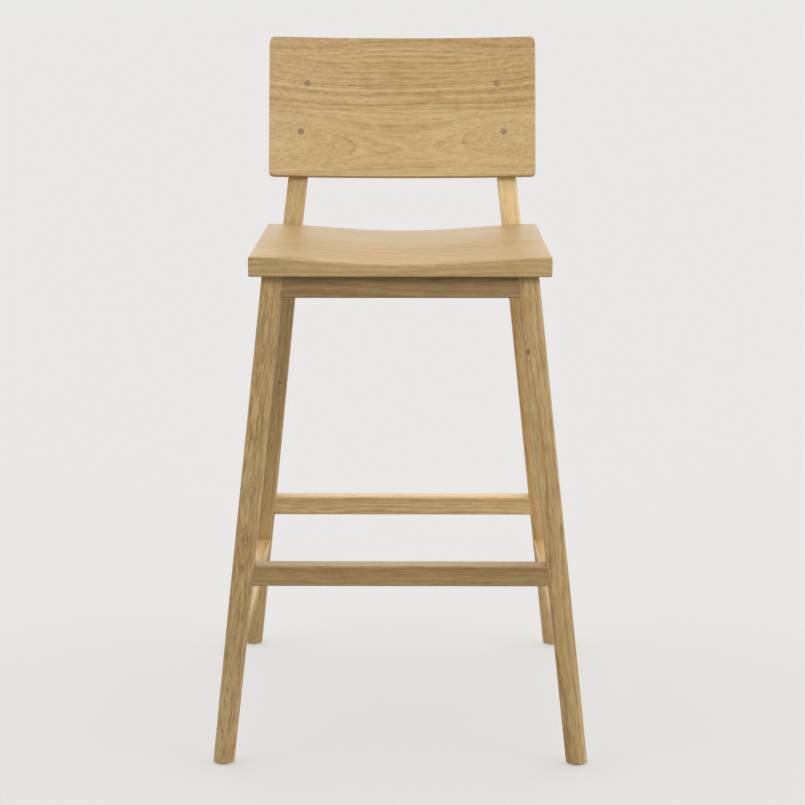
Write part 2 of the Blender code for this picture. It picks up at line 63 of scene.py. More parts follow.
INWARD = Vector((0.0, 1.0, 0.0))
Ring = list[Vector]


class Side(Enum):
    """Which side of the stool a piece is on, as seen from the front."""

    LEFT = -1
    RIGHT = 1

    @property
    def word(self) -> str:
        """The side's name as the nodes spell it."""
        return self.name.lower()


class End(Enum):
    """Which end of the stool a piece is at."""

    FRONT = -1
    REAR = 1

    @property
    def word(self) -> str:
        """The end's name as the nodes spell it."""
        return self.name.lower()


class Cut(Enum):
    """How a board was sawn: where the log's heart lies from the board's middle, in mm."""

    FLAT = (60.0, 48.0)
    HEART = (4.0, 34.0)
    RIFT = (46.0, 46.0)
    WIDE = (142.0, 46.0)
    QUARTER = (88.0, 12.0)


def mix(start: float, end: float, share: float) -> float:
    """Return the value the given share of the way from start to end."""
    return start + (end - start) * share


def linear(code: str) -> tuple[float, float, float, float]:
    """Turn an sRGB hex colour into linear light.

    Args:
        code: The colour as six hex digits.

    Returns:
        Red, green, blue and an alpha of one, for a shader socket.
    """
    values = [int(code[i:i + 2], 16) / 255 for i in (0, 2, 4)]
    light = [v / 12.92 if v <= 0.04045 else ((v + 0.055) / 1.055) ** 2.4 for v in values]
    return (*light, 1.0)


def add_node(tree: bpy.types.NodeTree, kind: str, inputs: Optional[dict] = None,
             **settings: object) -> bpy.types.Node:
    """Add a node with its settings, values and links.

    Args:
        tree: The node tree that the node goes into.
        kind: Blender's type name of the node.
        inputs: Input names or numbers with their value, or the socket that feeds them.
        settings: Properties of the node.

    Returns:
        The new node.
    """
    node = tree.nodes.new(kind)
    for name, value in settings.items():
        setattr(node, name, value)
    for key, value in (inputs or {}).items():
        if isinstance(value, bpy.types.NodeSocket):
            tree.links.new(value, node.inputs[key])
        else:
            node.inputs[key].default_value = value
    return node


# ------------------------------------------------------------------------ finishes

@dataclass(frozen=True)
class Knot:
    """A pin knot: where it is on the stool and how wide it is."""

    place: tuple[float, float, float]
    radius_mm: float


@dataclass(frozen=True)
class Seam:
    """A glue line of a panel: its place across the boards, in mm, and the next board's change."""

    across_mm: float
    shift_mm: tuple[float, float, float]
    tone: float


@dataclass(frozen=True)
class Board:
    """How one board lies in its log.

    Attributes:
        origin: A point in the middle of the board, in the stool's frame.
        along: The direction of the fibres.
        face: The direction that the board's main face looks in.
        cut: How the board was sawn.
        run_mm: Where along the log the board was taken, which sets its figure.
        tone: Lighter above zero, darker below, within the timber's own range.
        shade: How much light the whole board returns, next to the average board; partly the wood's own
        lightness, partly painted shade and painted light for how much light falls on the board.
        figured: How strong the board's figure is, next to the average board.
        bend: Place along the board, in mm, where its fibres turn, and their slope from there.
        fade: Painted light: how much lighter the board is painted past its bend,
        on a post above the seat, while the leg below lies in the seat's shade.
        bow_mm: How far the heart bows away within a hand's length of the board's middle.
        knots: Pin knots that come out on the board.
        seams: Glue lines, for a panel of several boards.
    """

    origin: Vector
    along: Vector
    face: Vector
    cut: Cut = Cut.RIFT
    run_mm: float = 0.0
    tone: float = 0.0
    shade: float = 1.0
    figured: float = 1.0
    bend: tuple[float, float] = (0.0, 0.0)
    fade: float = 0.0
    bow_mm: float = 0.0
    knots: tuple[Knot, ...] = ()
    seams: tuple[Seam, ...] = ()

    def turn(self) -> Matrix:
        """Return the rotation whose columns are across, depth and along the board."""
        along = self.along.normalized()
        depth = (-self.face + along * self.face.dot(along)).normalized()
        across = depth.cross(along)
        return Matrix((across, depth, along)).transposed()

    def local_mm(self, place: Vector) -> Vector:
        """Return a point of the stool in the board's own millimetres."""
        return (self.turn().transposed() @ (place - self.origin)) / MM


@dataclass(frozen=True)
class OiledOak:
    """European oak, planed, sanded and oiled: open pores, soft sheen, warm straw colour.

    Attributes:
        dark: Colour of the dense, slow part of the growth rings.
        middle: The colour most of the face has.
        light: Colour of the pale, fast-grown part of the rings.
        pore: Colour of the open pores, where oil gathers.
        ring_mm: Mean width of a growth ring.
        roughness: How matt the oil leaves the surface.
    """

    dark: str = "A27C49"
    middle: str = "C7A46C"
    light: str = "DEC28C"
    pore: str = "7A5A33"
    ring_mm: float = 2.6
    roughness: float = 0.47

    def figure(self) -> bpy.types.NodeTree:
        """Return the shared node group that draws oak from board millimetres.

        Returns:
            A group with the inputs Place, Tone and Figure and the outputs Colour,
            Roughness and Height.
        """
        name = "oak_figure"
        if name in bpy.data.node_groups:
            return bpy.data.node_groups[name]
        tree = bpy.data.node_groups.new(name, "ShaderNodeTree")
        tree.interface.new_socket("Place", in_out="INPUT", socket_type="NodeSocketVector")
        tree.interface.new_socket("Tone", in_out="INPUT", socket_type="NodeSocketFloat")
        tree.interface.new_socket("Figure", in_out="INPUT", socket_type="NodeSocketFloat")
        tree.interface.new_socket("Colour", in_out="OUTPUT", socket_type="NodeSocketColor")
        tree.interface.new_socket("Roughness", in_out="OUTPUT", socket_type="NodeSocketFloat")
        tree.interface.new_socket("Height", in_out="OUTPUT", socket_type="NodeSocketFloat")
        given = add_node(tree, "NodeGroupInput").outputs

        def scaled(x: float, y: float, z: float) -> bpy.types.NodeSocket:
            """Return the place stretched for a pattern, in cells per mm."""
            return add_node(tree, "ShaderNodeVectorMath", {0: given["Place"], 1: (x, y, z)},
                            operation="MULTIPLY").outputs[0]

        def noise(place: bpy.types.NodeSocket, detail: float, rough: float = 0.55) -> bpy.types.Node:
            """Return fractal noise of unit cell size."""
            return add_node(tree, "ShaderNodeTexNoise",
                            {"Vector": place, "Scale": 1.0, "Detail": detail, "Roughness": rough})

        def math_node(kind: str, *values: object, clamp: bool = False) -> bpy.types.NodeSocket:
            """Return the result of one sum."""
            return add_node(tree, "ShaderNodeMath", dict(enumerate(values)), operation=kind,
                            use_clamp=clamp).outputs[0]

        # The stem wanders and tapers over a hand's length, which gives the cathedral arches.
        sweep = add_node(tree, "ShaderNodeVectorMath",
                         {0: noise(scaled(0.006, 0.006, 0.0034), 1.0).outputs["Color"],
                          1: (0.5, 0.5, 0.5)}, operation="SUBTRACT").outputs[0]
        ripple = add_node(tree, "ShaderNodeVectorMath",
                          {0: noise(scaled(0.09, 0.09, 0.03), 2.0).outputs["Color"],
                           1: (0.5, 0.5, 0.5)}, operation="SUBTRACT").outputs[0]
        swept = add_node(tree, "ShaderNodeVectorMath", {0: sweep, 1: (30.0, 30.0, 0.0), 2: given["Place"]},
                         operation="MULTIPLY_ADD").outputs[0]
        rippled = add_node(tree, "ShaderNodeVectorMath", {0: ripple, 1: (3.6, 3.6, 0.0), 2: swept},
                           operation="MULTIPLY_ADD").outputs[0]
        level = add_node(tree, "ShaderNodeVectorMath", {0: rippled, 1: (1.0, 1.0, 0.0)},
                         operation="MULTIPLY").outputs[0]
        radius = add_node(tree, "ShaderNodeVectorMath", {0: level}, operation="LENGTH").outputs["Value"]
        seasons = add_node(tree, "ShaderNodeTexNoise", {"W": radius, "Scale": 0.17, "Detail": 2.0},
                           noise_dimensions="1D").outputs[0]
        years = math_node("MULTIPLY_ADD", radius, 1.0 / self.ring_mm, math_node("MULTIPLY", seasons, 3.0))
        season = math_node("FRACT", years)
        # Spring wood opens each ring sharply and fades into the dense summer wood.
        ring = add_node(tree, "ShaderNodeValToRGB", {0: season})
        ring.color_ramp.interpolation = "EASE"
        for place, value in zip((0.0, 0.14, 0.5, 1.0), (0.3, 0.0, 0.8, 1.0)):
            stop = ring.color_ramp.elements.new(place) if 0.0 < place < 1.0 else \
                ring.color_ramp.elements[int(place)]
            stop.color = (value, value, value, 1.0)
        spring = math_node("SUBTRACT", 1.0, ring.outputs[0])
        # Bands several rings wide are what shows from across a room.
        era = add_node(tree, "ShaderNodeTexNoise", {"W": radius, "Scale": 0.12, "Detail": 4.0, "Roughness": 0.72},
                       noise_dimensions="1D").outputs[0]
        fibre = noise(scaled(0.42, 0.42, 0.028), 4.0, 0.7).outputs[0]
        mottle = noise(scaled(0.22, 0.22, 0.04), 3.0, 0.6).outputs[0]
        cloud = noise(scaled(0.018, 0.018, 0.0045), 2.0).outputs[0]
        # Pores are 0.3 mm wide and a few mm long; they are drawn three times that to show.
        pore = noise(scaled(0.95, 0.95, 0.10), 2.0, 0.5).outputs[0]
        pored = add_node(tree, "ShaderNodeMapRange",
                         {"Value": pore, "From Min": 0.54, "From Max": 0.68}).outputs[0]
        pores = math_node("MULTIPLY", pored, math_node("MULTIPLY_ADD", spring, 0.75, 0.25), clamp=True)
        # Each part's weight in the face's lightness, about nought.
        figure = math_node("MULTIPLY_ADD", ring.outputs[0], 0.50, -0.32)
        for part, weight in ((era, 1.35), (fibre, 1.05), (mottle, 0.75)):
            figure = math_node("MULTIPLY_ADD", math_node("SUBTRACT", part, 0.5), weight, figure)
        light = math_node("MULTIPLY_ADD", figure, given["Figure"], math_node("ADD", given["Tone"], 0.5))
        light = math_node("MULTIPLY_ADD", math_node("SUBTRACT", cloud, 0.5), 0.45, light)
        colour = add_node(tree, "ShaderNodeValToRGB", {0: light})
        colour.color_ramp.elements[0].position = 0.05
        colour.color_ramp.elements[0].color = linear(self.dark)
        colour.color_ramp.elements[1].position = 0.95
        colour.color_ramp.elements[1].color = linear(self.light)
        colour.color_ramp.elements.new(0.5).color = linear(self.middle)
        # Slow patches lean to olive and fast ones to a warmer brown.
        lean = add_node(tree, "ShaderNodeMapRange",
                        {"Value": noise(scaled(0.07, 0.07, 0.011), 2.0).outputs[0], "From Min": 0.35,
                         "From Max": 0.65}).outputs[0]
        hue = add_node(tree, "ShaderNodeMix", {"Factor": lean, 6: (0.975, 1.0, 0.975, 1.0),
                                               7: (1.025, 0.996, 0.985, 1.0)}, data_type="RGBA").outputs[2]
        tinted = add_node(tree, "ShaderNodeMix", {"Factor": 1.0, 6: colour.outputs[0], 7: hue},
                          data_type="RGBA", blend_type="MULTIPLY").outputs[2]
        oiled = add_node(tree, "ShaderNodeMix",
                         {"Factor": math_node("MULTIPLY", math_node("MULTIPLY", pores, 0.5), given["Figure"],
                                              clamp=True), 6: tinted, 7: linear(self.pore)}, data_type="RGBA")
        matt = math_node("MULTIPLY_ADD", pores, 0.22,
                         math_node("MULTIPLY_ADD", fibre, 0.16, self.roughness - 0.08))
        height = math_node("MULTIPLY_ADD", pores, -1.0, math_node("MULTIPLY", fibre, 0.5))
        add_node(tree, "NodeGroupOutput",
                 {"Colour": oiled.outputs[2], "Roughness": matt, "Height": height})
        return tree

    def material(self, name: str, board: Board) -> bpy.types.Material:
        """Make the material of one oak piece.

        Args:
            name: The material's name.
            board: How the piece lies in its log.

        Returns:
            The material.
        """
        made = bpy.data.materials.new(name)
        made.use_nodes = True
        tree = made.node_tree
        shader = tree.nodes["Principled BSDF"]
        coords = add_node(tree, "ShaderNodeTexCoord").outputs["Object"]
        place = add_node(tree, "ShaderNodeMapping",
                         {"Vector": coords, "Location": board.origin,
                          "Rotation": board.turn().to_euler(), "Scale": (MM, MM, MM)},
                         vector_type="TEXTURE").outputs[0]
        tone = add_node(tree, "ShaderNodeValue")
        tone.outputs[0].default_value = board.tone
        lightness = tone.outputs[0]
        darkest = None
        pushed = place
        if board.bend[1]:
            above = add_node(tree, "ShaderNodeMath",
                             {0: add_node(tree, "ShaderNodeSeparateXYZ", {0: place}).outputs[2],
                              1: board.bend[0]}, operation="SUBTRACT").outputs[0]
            beyond = add_node(tree, "ShaderNodeMath", {0: above, 1: 0.0}, operation="MAXIMUM").outputs[0]
            pushed = add_node(tree, "ShaderNodeVectorMath",
                              {0: beyond, 1: (0.0, -board.bend[1], 0.0), 2: place},
                              operation="MULTIPLY_ADD").outputs[0]
            # Painted light: past the bend the board is painted lighter, on the post above the seat, while the leg below
            # lies in the seat's shade.
            painted_post_light = add_node(tree, "ShaderNodeMapRange", {"Value": above, "From Min": -30.0, "From Max": 60.0,
                                                          "To Max": board.fade}).outputs[0]
            lightness = add_node(tree, "ShaderNodeMath", {0: painted_post_light, 1: lightness}, operation="ADD").outputs[0]
        if board.bow_mm:
            run = add_node(tree, "ShaderNodeMath",
                           {0: add_node(tree, "ShaderNodeSeparateXYZ", {0: place}).outputs[2], 1: 0.005},
                           operation="MULTIPLY").outputs[0]
            bowed = add_node(tree, "ShaderNodeMath", {0: run, 1: run}, operation="MULTIPLY").outputs[0]
            pushed = add_node(tree, "ShaderNodeVectorMath", {0: bowed, 1: (0.0, board.bow_mm, 0.0), 2: pushed},
                              operation="MULTIPLY_ADD").outputs[0]
        for knot in board.knots:
            pushed, near = self.knot(tree, place, pushed, board.local_mm(Vector(knot.place)), knot.radius_mm)
            darkest = near if darkest is None else add_node(
                tree, "ShaderNodeMath", {0: darkest, 1: near}, operation="MAXIMUM").outputs[0]
        for seam in board.seams:
            beside = add_node(tree, "ShaderNodeSeparateXYZ", {0: place}).outputs[0]
            past = add_node(tree, "ShaderNodeMath", {0: beside, 1: seam.across_mm},
                            operation="GREATER_THAN").outputs[0]
            pushed = add_node(tree, "ShaderNodeVectorMath", {0: past, 1: seam.shift_mm, 2: pushed},
                              operation="MULTIPLY_ADD").outputs[0]
            lightness = add_node(tree, "ShaderNodeMath", {0: past, 1: seam.tone, 2: lightness},
                                 operation="MULTIPLY_ADD").outputs[0]
        heart = (board.cut.value[0], board.cut.value[1], board.run_mm)
        in_log = add_node(tree, "ShaderNodeVectorMath", {0: pushed, 1: heart}, operation="ADD").outputs[0]
        figure = add_node(tree, "ShaderNodeGroup", {}, node_tree=self.figure())
        tree.links.new(in_log, figure.inputs["Place"])
        tree.links.new(lightness, figure.inputs["Tone"])
        figure.inputs["Figure"].default_value = board.figured
        colour = figure.outputs["Colour"]
        if darkest is not None:
            colour = add_node(tree, "ShaderNodeMix", {"Factor": darkest, 6: colour, 7: linear(self.pore)},
                              data_type="RGBA").outputs[2]
        # A darker board is a redder one, and painted shade is redder too; painted light is less saturated.
        shade = (board.shade, board.shade ** 1.12, board.shade ** 1.3, 1.0)
        shaded = add_node(tree, "ShaderNodeMix", {"Factor": 1.0, 6: colour, 7: shade},
                          data_type="RGBA", blend_type="MULTIPLY").outputs[2]
        tree.links.new(shaded, shader.inputs["Base Color"])
        tree.links.new(figure.outputs["Roughness"], shader.inputs["Roughness"])
        bump = add_node(tree, "ShaderNodeBump", {"Height": figure.outputs["Height"], "Strength": 0.35,
                                                 "Distance": 0.10 * MM})
        tree.links.new(bump.outputs[0], shader.inputs["Normal"])
        shader.inputs["IOR"].default_value = 1.47
        shader.inputs["Specular IOR Level"].default_value = 0.62
        return made

    def knot(self, tree: bpy.types.NodeTree, place: bpy.types.NodeSocket, pushed: bpy.types.NodeSocket,
             centre: Vector, radius: float) -> tuple[bpy.types.NodeSocket, bpy.types.NodeSocket]:
        """Bend the rings round a pin knot.

        Args:
            tree: The material's node tree.
            place: The unbent place on the board, in mm.
            pushed: The place as bent so far.
            centre: The knot's centre on the board, in mm.
            radius: The knot's radius in mm.

        Returns:
            The place bent round the knot too, and how dark the knot makes it.
        """
        offset = add_node(tree, "ShaderNodeVectorMath", {0: place, 1: centre}, operation="SUBTRACT").outputs[0]
        squashed = add_node(tree, "ShaderNodeVectorMath", {0: offset, 1: (1.0, 0.6, 0.6)},
                            operation="MULTIPLY").outputs[0]
        away = add_node(tree, "ShaderNodeVectorMath", {0: squashed}, operation="LENGTH").outputs["Value"]
        swirl = add_node(tree, "ShaderNodeMapRange",
                         {"Value": away, "From Min": radius * 0.5, "From Max": radius * 4.0,
                          "To Min": 1.0, "To Max": 0.0}, interpolation_type="SMOOTHERSTEP").outputs[0]
        bent = add_node(tree, "ShaderNodeVectorMath",
                        {0: swirl, 1: (radius * 1.6, radius * 1.6, 0.0), 2: pushed},
                        operation="MULTIPLY_ADD").outputs[0]
        core = add_node(tree, "ShaderNodeMapRange",
                        {"Value": away, "From Min": radius * 0.35, "From Max": radius * 1.5,
                         "To Min": 0.72, "To Max": 0.0}, interpolation_type="SMOOTHSTEP").outputs[0]
        return bent, core


@dataclass(frozen=True)
class PlainFinish:
    """A finish with one base colour and a fine grain of its own.

    Attributes:
        name: The material's name.
        colour: Base colour.
        fleck: Colour of the fine grain.
        cells_per_m: Grain cells in a metre, across, deep and along.
        roughness: Mean roughness.
        metallic: One for bare or plated metal.
        bump_mm: Height of the grain.
    """

    name: str
    colour: str
    fleck: str
    cells_per_m: tuple[float, float, float]
    roughness: float
    metallic: float = 0.0
    bump_mm: float = 0.02

    def material(self) -> bpy.types.Material:
        """Return the finish as a material, made once."""
        if self.name in bpy.data.materials:
            return bpy.data.materials[self.name]
        made = bpy.data.materials.new(self.name)
        made.use_nodes = True
        tree = made.node_tree
        shader = tree.nodes["Principled BSDF"]
        coords = add_node(tree, "ShaderNodeTexCoord").outputs["Object"]
        cells = add_node(tree, "ShaderNodeVectorMath", {0: coords, 1: self.cells_per_m},
                         operation="MULTIPLY").outputs[0]
        grain = add_node(tree, "ShaderNodeTexNoise", {"Vector": cells, "Scale": 1.0, "Detail": 3.0}).outputs[0]
        sharp = add_node(tree, "ShaderNodeMapRange",
                         {"Value": grain, "From Min": 0.35, "From Max": 0.68}).outputs[0]
        colour = add_node(tree, "ShaderNodeMix",
                          {"Factor": sharp, 6: linear(self.colour), 7: linear(self.fleck)}, data_type="RGBA")
        tree.links.new(colour.outputs[2], shader.inputs["Base Color"])
        rough = add_node(tree, "ShaderNodeMath", {0: grain, 1: 0.2, 2: self.roughness - 0.1},
                         operation="MULTIPLY_ADD").outputs[0]
        tree.links.new(rough, shader.inputs["Roughness"])
        bump = add_node(tree, "ShaderNodeBump",
                        {"Height": grain, "Strength": 0.4, "Distance": self.bump_mm * MM})
        tree.links.new(bump.outputs[0], shader.inputs["Normal"])
        shader.inputs["Metallic"].default_value = self.metallic
        return made


PANEL_OAK = OiledOak()
# End grain drinks the oil and shows its pores as dots, so the plugs are darker.
END_GRAIN_OAK = PlainFinish("oak_end_grain_oiled", "A88F68", "8A7049", (1400.0, 1400.0, 1400.0), 0.62)
# Planed beech: short, fine flecks along a pinkish ground.
BEECH = PlainFinish("beech_planed", "D2AC82", "BC9063", (900.0, 900.0, 120.0), 0.6)
# Yellow-passivated zinc on steel: slightly mottled and half bright.
ZINC = PlainFinish("steel_zinc_plated", "B9B5A6", "D2CDB8", (500.0, 500.0, 500.0), 0.34, 1.0, 0.005)
# Natural nylon, moulded: milky, with a fine spark-eroded texture.
NYLON = PlainFinish("nylon_moulded", "BDB5A6", "A9A193", (2500.0, 2500.0, 2500.0), 0.6)


# -------------------------------------------------------------------- mesh making

def rounded_ring(corners: Sequence[Vector], radius: float, steps: int) -> Ring:
    """Round the corners of a flat outline with arcs.

    Args:
        corners: The outline's sharp corners, in order.
        radius: The arcs' radius in metres.
        steps: Facets in each arc.

    Returns:
        The rounded outline's points.
    """
    ring = []
    count = len(corners)
    for i, corner in enumerate(corners):
        back = (corners[i - 1] - corner).normalized()
        ahead = (corners[(i + 1) % count] - corner).normalized()
        half = back.angle(ahead) / 2
        centre = corner + (back + ahead).normalized() * (radius / math.sin(half))
        first = corner + back * (radius / math.tan(half)) - centre
        last = corner + ahead * (radius / math.tan(half)) - centre
        ring += [centre + first.slerp(last, step / steps).normalized() * radius
                 for step in range(steps + 1)]
    return ring


def inset(corners: Sequence[Vector], distance: float) -> Ring:
    """Move the corners of a nearly square outline in from its edges."""
    moved = []
    for i, corner in enumerate(corners):
        ahead = (corners[(i + 1) % len(corners)] - corner).normalized()
        behind = (corners[i - 1] - corner).normalized()
        moved.append(corner + (ahead + behind) * distance)
    return moved


def shifted(ring: Sequence[Vector], offset: Vector) -> Ring:
    """Return a ring moved by one offset."""
    return [point + offset for point in ring]


def skin(name: str, rings: Sequence[Ring]) -> bpy.types.Object:
    """Skin rings of equal length into a closed piece with flat ends.

    Args:
        name: The piece's name.
        rings: The sections in order.

    Returns:
        The new object, at the origin.
    """
    bm = bmesh.new()
    loops = [[bm.verts.new(point) for point in ring] for ring in rings]
    count = len(loops[0])
    for low, high in zip(loops, loops[1:]):
        for i in range(count):
            j = (i + 1) % count
            bm.faces.new((low[i], low[j], high[j], high[i]))
    bm.faces.new(list(reversed(loops[0])))
    bm.faces.new(loops[-1])
    bmesh.ops.recalc_face_normals(bm, faces=bm.faces)
    mesh = bpy.data.meshes.new(name)
    bm.to_mesh(mesh)
    bm.free()
    piece = bpy.data.objects.new(name, mesh)
    bpy.context.scene.collection.objects.link(piece)
    return piece


def bake_modifiers(piece: bpy.types.Object) -> None:
    """Turn a piece and its modifiers into one plain mesh."""
    bpy.context.view_layer.update()
    evaluated = piece.evaluated_get(bpy.context.evaluated_depsgraph_get())
    mesh = bpy.data.meshes.new_from_object(evaluated, depsgraph=bpy.context.evaluated_depsgraph_get())
    piece.modifiers.clear()
    old = piece.data
    piece.data = mesh
    mesh.name = piece.name
    if old.users == 0:
        bpy.data.meshes.remove(old)


def combine(piece: bpy.types.Object, others: Sequence[bpy.types.Object], operation: str) -> None:
    """Cut other solids out of a piece, or join them to it, and remove them.

    Args:
        piece: The piece that is changed.
        others: The other solids.
        operation: DIFFERENCE or UNION.
    """
    for other in others:
        boolean = piece.modifiers.new(other.name, "BOOLEAN")
        boolean.operation = operation
        boolean.solver = "EXACT"
        boolean.object = other
    bake_modifiers(piece)
    for other in others:
        mesh = other.data
        bpy.data.objects.remove(other, do_unlink=True)
        bpy.data.meshes.remove(mesh)


def ease_edges(piece: bpy.types.Object, radius: float, steps: int = 4, weighted: bool = False) -> None:
    """Round a piece's sharp edges, or only its weighted ones, with true arcs."""
    bevel = piece.modifiers.new("eased_edges", "BEVEL")
    bevel.width = radius
    bevel.segments = steps
    bevel.limit_method = "WEIGHT" if weighted else "ANGLE"
    bevel.angle_limit = math.radians(40.0)
    bake_modifiers(piece)


def keep_flats_flat(piece: bpy.types.Object) -> None:
    """Shade a piece smooth with sharp real edges and even flats."""
    piece.data.shade_smooth()
    piece.data.set_sharp_from_angle(angle=math.radians(38.0))
    weighted = piece.modifiers.new("even_flats", "WEIGHTED_NORMAL")
    weighted.keep_sharp = True
    weighted.weight = 100
    bake_modifiers(piece)


def turned(name: str, profile: Sequence[tuple[float, float]], start: Vector, axis: Vector,
           steps: int = 40) -> bpy.types.Object:
    """Turn a profile on a lathe.

    Args:
        name: The piece's name.
        profile: Radius and distance along the axis, from one end to the other.
        start: Where the axis starts.
        axis: The axis' direction.
        steps: Facets round the piece.

    Returns:
        The turned piece.
    """
    turn = axis.to_track_quat("Z", "Y").to_matrix()
    rings = []
    for radius, rise in profile:
        angles = [math.tau * step / steps for step in range(steps)]
        rings.append([start + turn @ Vector((radius * math.cos(a), radius * math.sin(a), rise))
                      for a in angles])
    return skin(name, rings)


def hand_over(piece: bpy.types.Object, material: bpy.types.Material, slot: str, *nodes: str) -> None:
    """Dress a finished piece and let it ride in place of its CAD nodes.

    Args:
        piece: The finished piece.
        material: Its finish.
        slot: The record's material slot; not used.
        nodes: The CAD nodes that it stands for.
    """
    piece.data.materials.clear()
    piece.data.materials.append(material)
    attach(piece, BODY)
    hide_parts(*nodes)
    LOG.info("%-32s %6d faces, stands for %s", piece.name, len(piece.data.polygons), ", ".join(nodes))


# ------------------------------------------------------------------------- layout

@dataclass(frozen=True)
class Layout:
    """Where the stool's main planes and leg lines are, read from the CAD boxes.

    Attributes:
        leg_width: Width of every leg, side to side.
        front_foot_depth: Depth of a front leg at the floor.
        front_top_depth: Depth of a front leg under the seat.
        rear_foot_depth: Depth of a rear leg at the floor.
        rear_knee_depth: Depth of a rear leg under the seat.
        post_depth: Depth of a post where it leaves the seat.
        post_tip_depth: Depth of a post at its top.
        lean: Angle of the posts from the upright.
        gap: Clearance between neighbours.
    """

    leg_width: float = 0.031
    front_foot_depth: float = 0.028
    front_top_depth: float = 0.040
    rear_foot_depth: float = 0.030
    rear_knee_depth: float = 0.046
    post_depth: float = 0.030
    post_tip_depth: float = 0.026
    lean: float = math.radians(15.0)
    gap: float = 0.3 * MM

    @property
    def seat_under(self) -> float:
        """Height of the seat's flat underside."""
        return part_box("seat_panel")[0].z

    @property
    def seat_rear(self) -> float:
        """How far back the seat's rear edge is."""
        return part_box("seat_panel")[1].y

    @property
    def leg_foot(self) -> float:
        """Height of a leg's sawn foot above the floor."""
        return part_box("front_leg_right")[0].z

    @property
    def post_top(self) -> float:
        """Height of the posts' tops."""
        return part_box("rear_leg_right")[1].z

    def front_leg(self, height: float) -> tuple[float, float, float]:
        """Return a front leg's centre, front face and rear face at a height."""
        low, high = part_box("front_leg_right")
        share = (height - low.z) / (high.z - low.z)
        return (mix(high.x - self.leg_width / 2, low.x + self.leg_width / 2, share),
                mix(low.y, high.y - self.front_top_depth, share),
                mix(low.y + self.front_foot_depth, high.y, share))

    def post_face(self, height: float) -> float:
        """Return how far back a post's front face is at a height."""
        return self.seat_rear + 2 * self.gap + (height - self.seat_under) * math.tan(self.lean)

    def rear_leg(self, height: float) -> tuple[float, float, float]:
        """Return a rear leg's centre, front face and rear face at a height."""
        low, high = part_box("rear_leg_right")
        centre = mix(high.x - self.leg_width / 2, low.x + self.leg_width / 2,
                     (height - low.z) / (high.z - low.z))
        if height > self.seat_under:
            share = (height - self.seat_under) / (high.z - self.seat_under)
            depth = mix(self.post_depth, self.post_tip_depth, share) / math.cos(self.lean)
            return centre, self.post_face(height), self.post_face(height) + depth
        share = (height - low.z) / (self.seat_under - low.z)
        return (centre, mix(high.y - self.rear_foot_depth, low.y, share),
                mix(high.y, low.y + self.rear_knee_depth, share))

    def leg(self, end: End) -> Callable[[float], tuple[float, float, float]]:
        """Return the leg line of one end."""
        return self.front_leg if end is End.FRONT else self.rear_leg


# --------------------------------------------------------------------------- legs

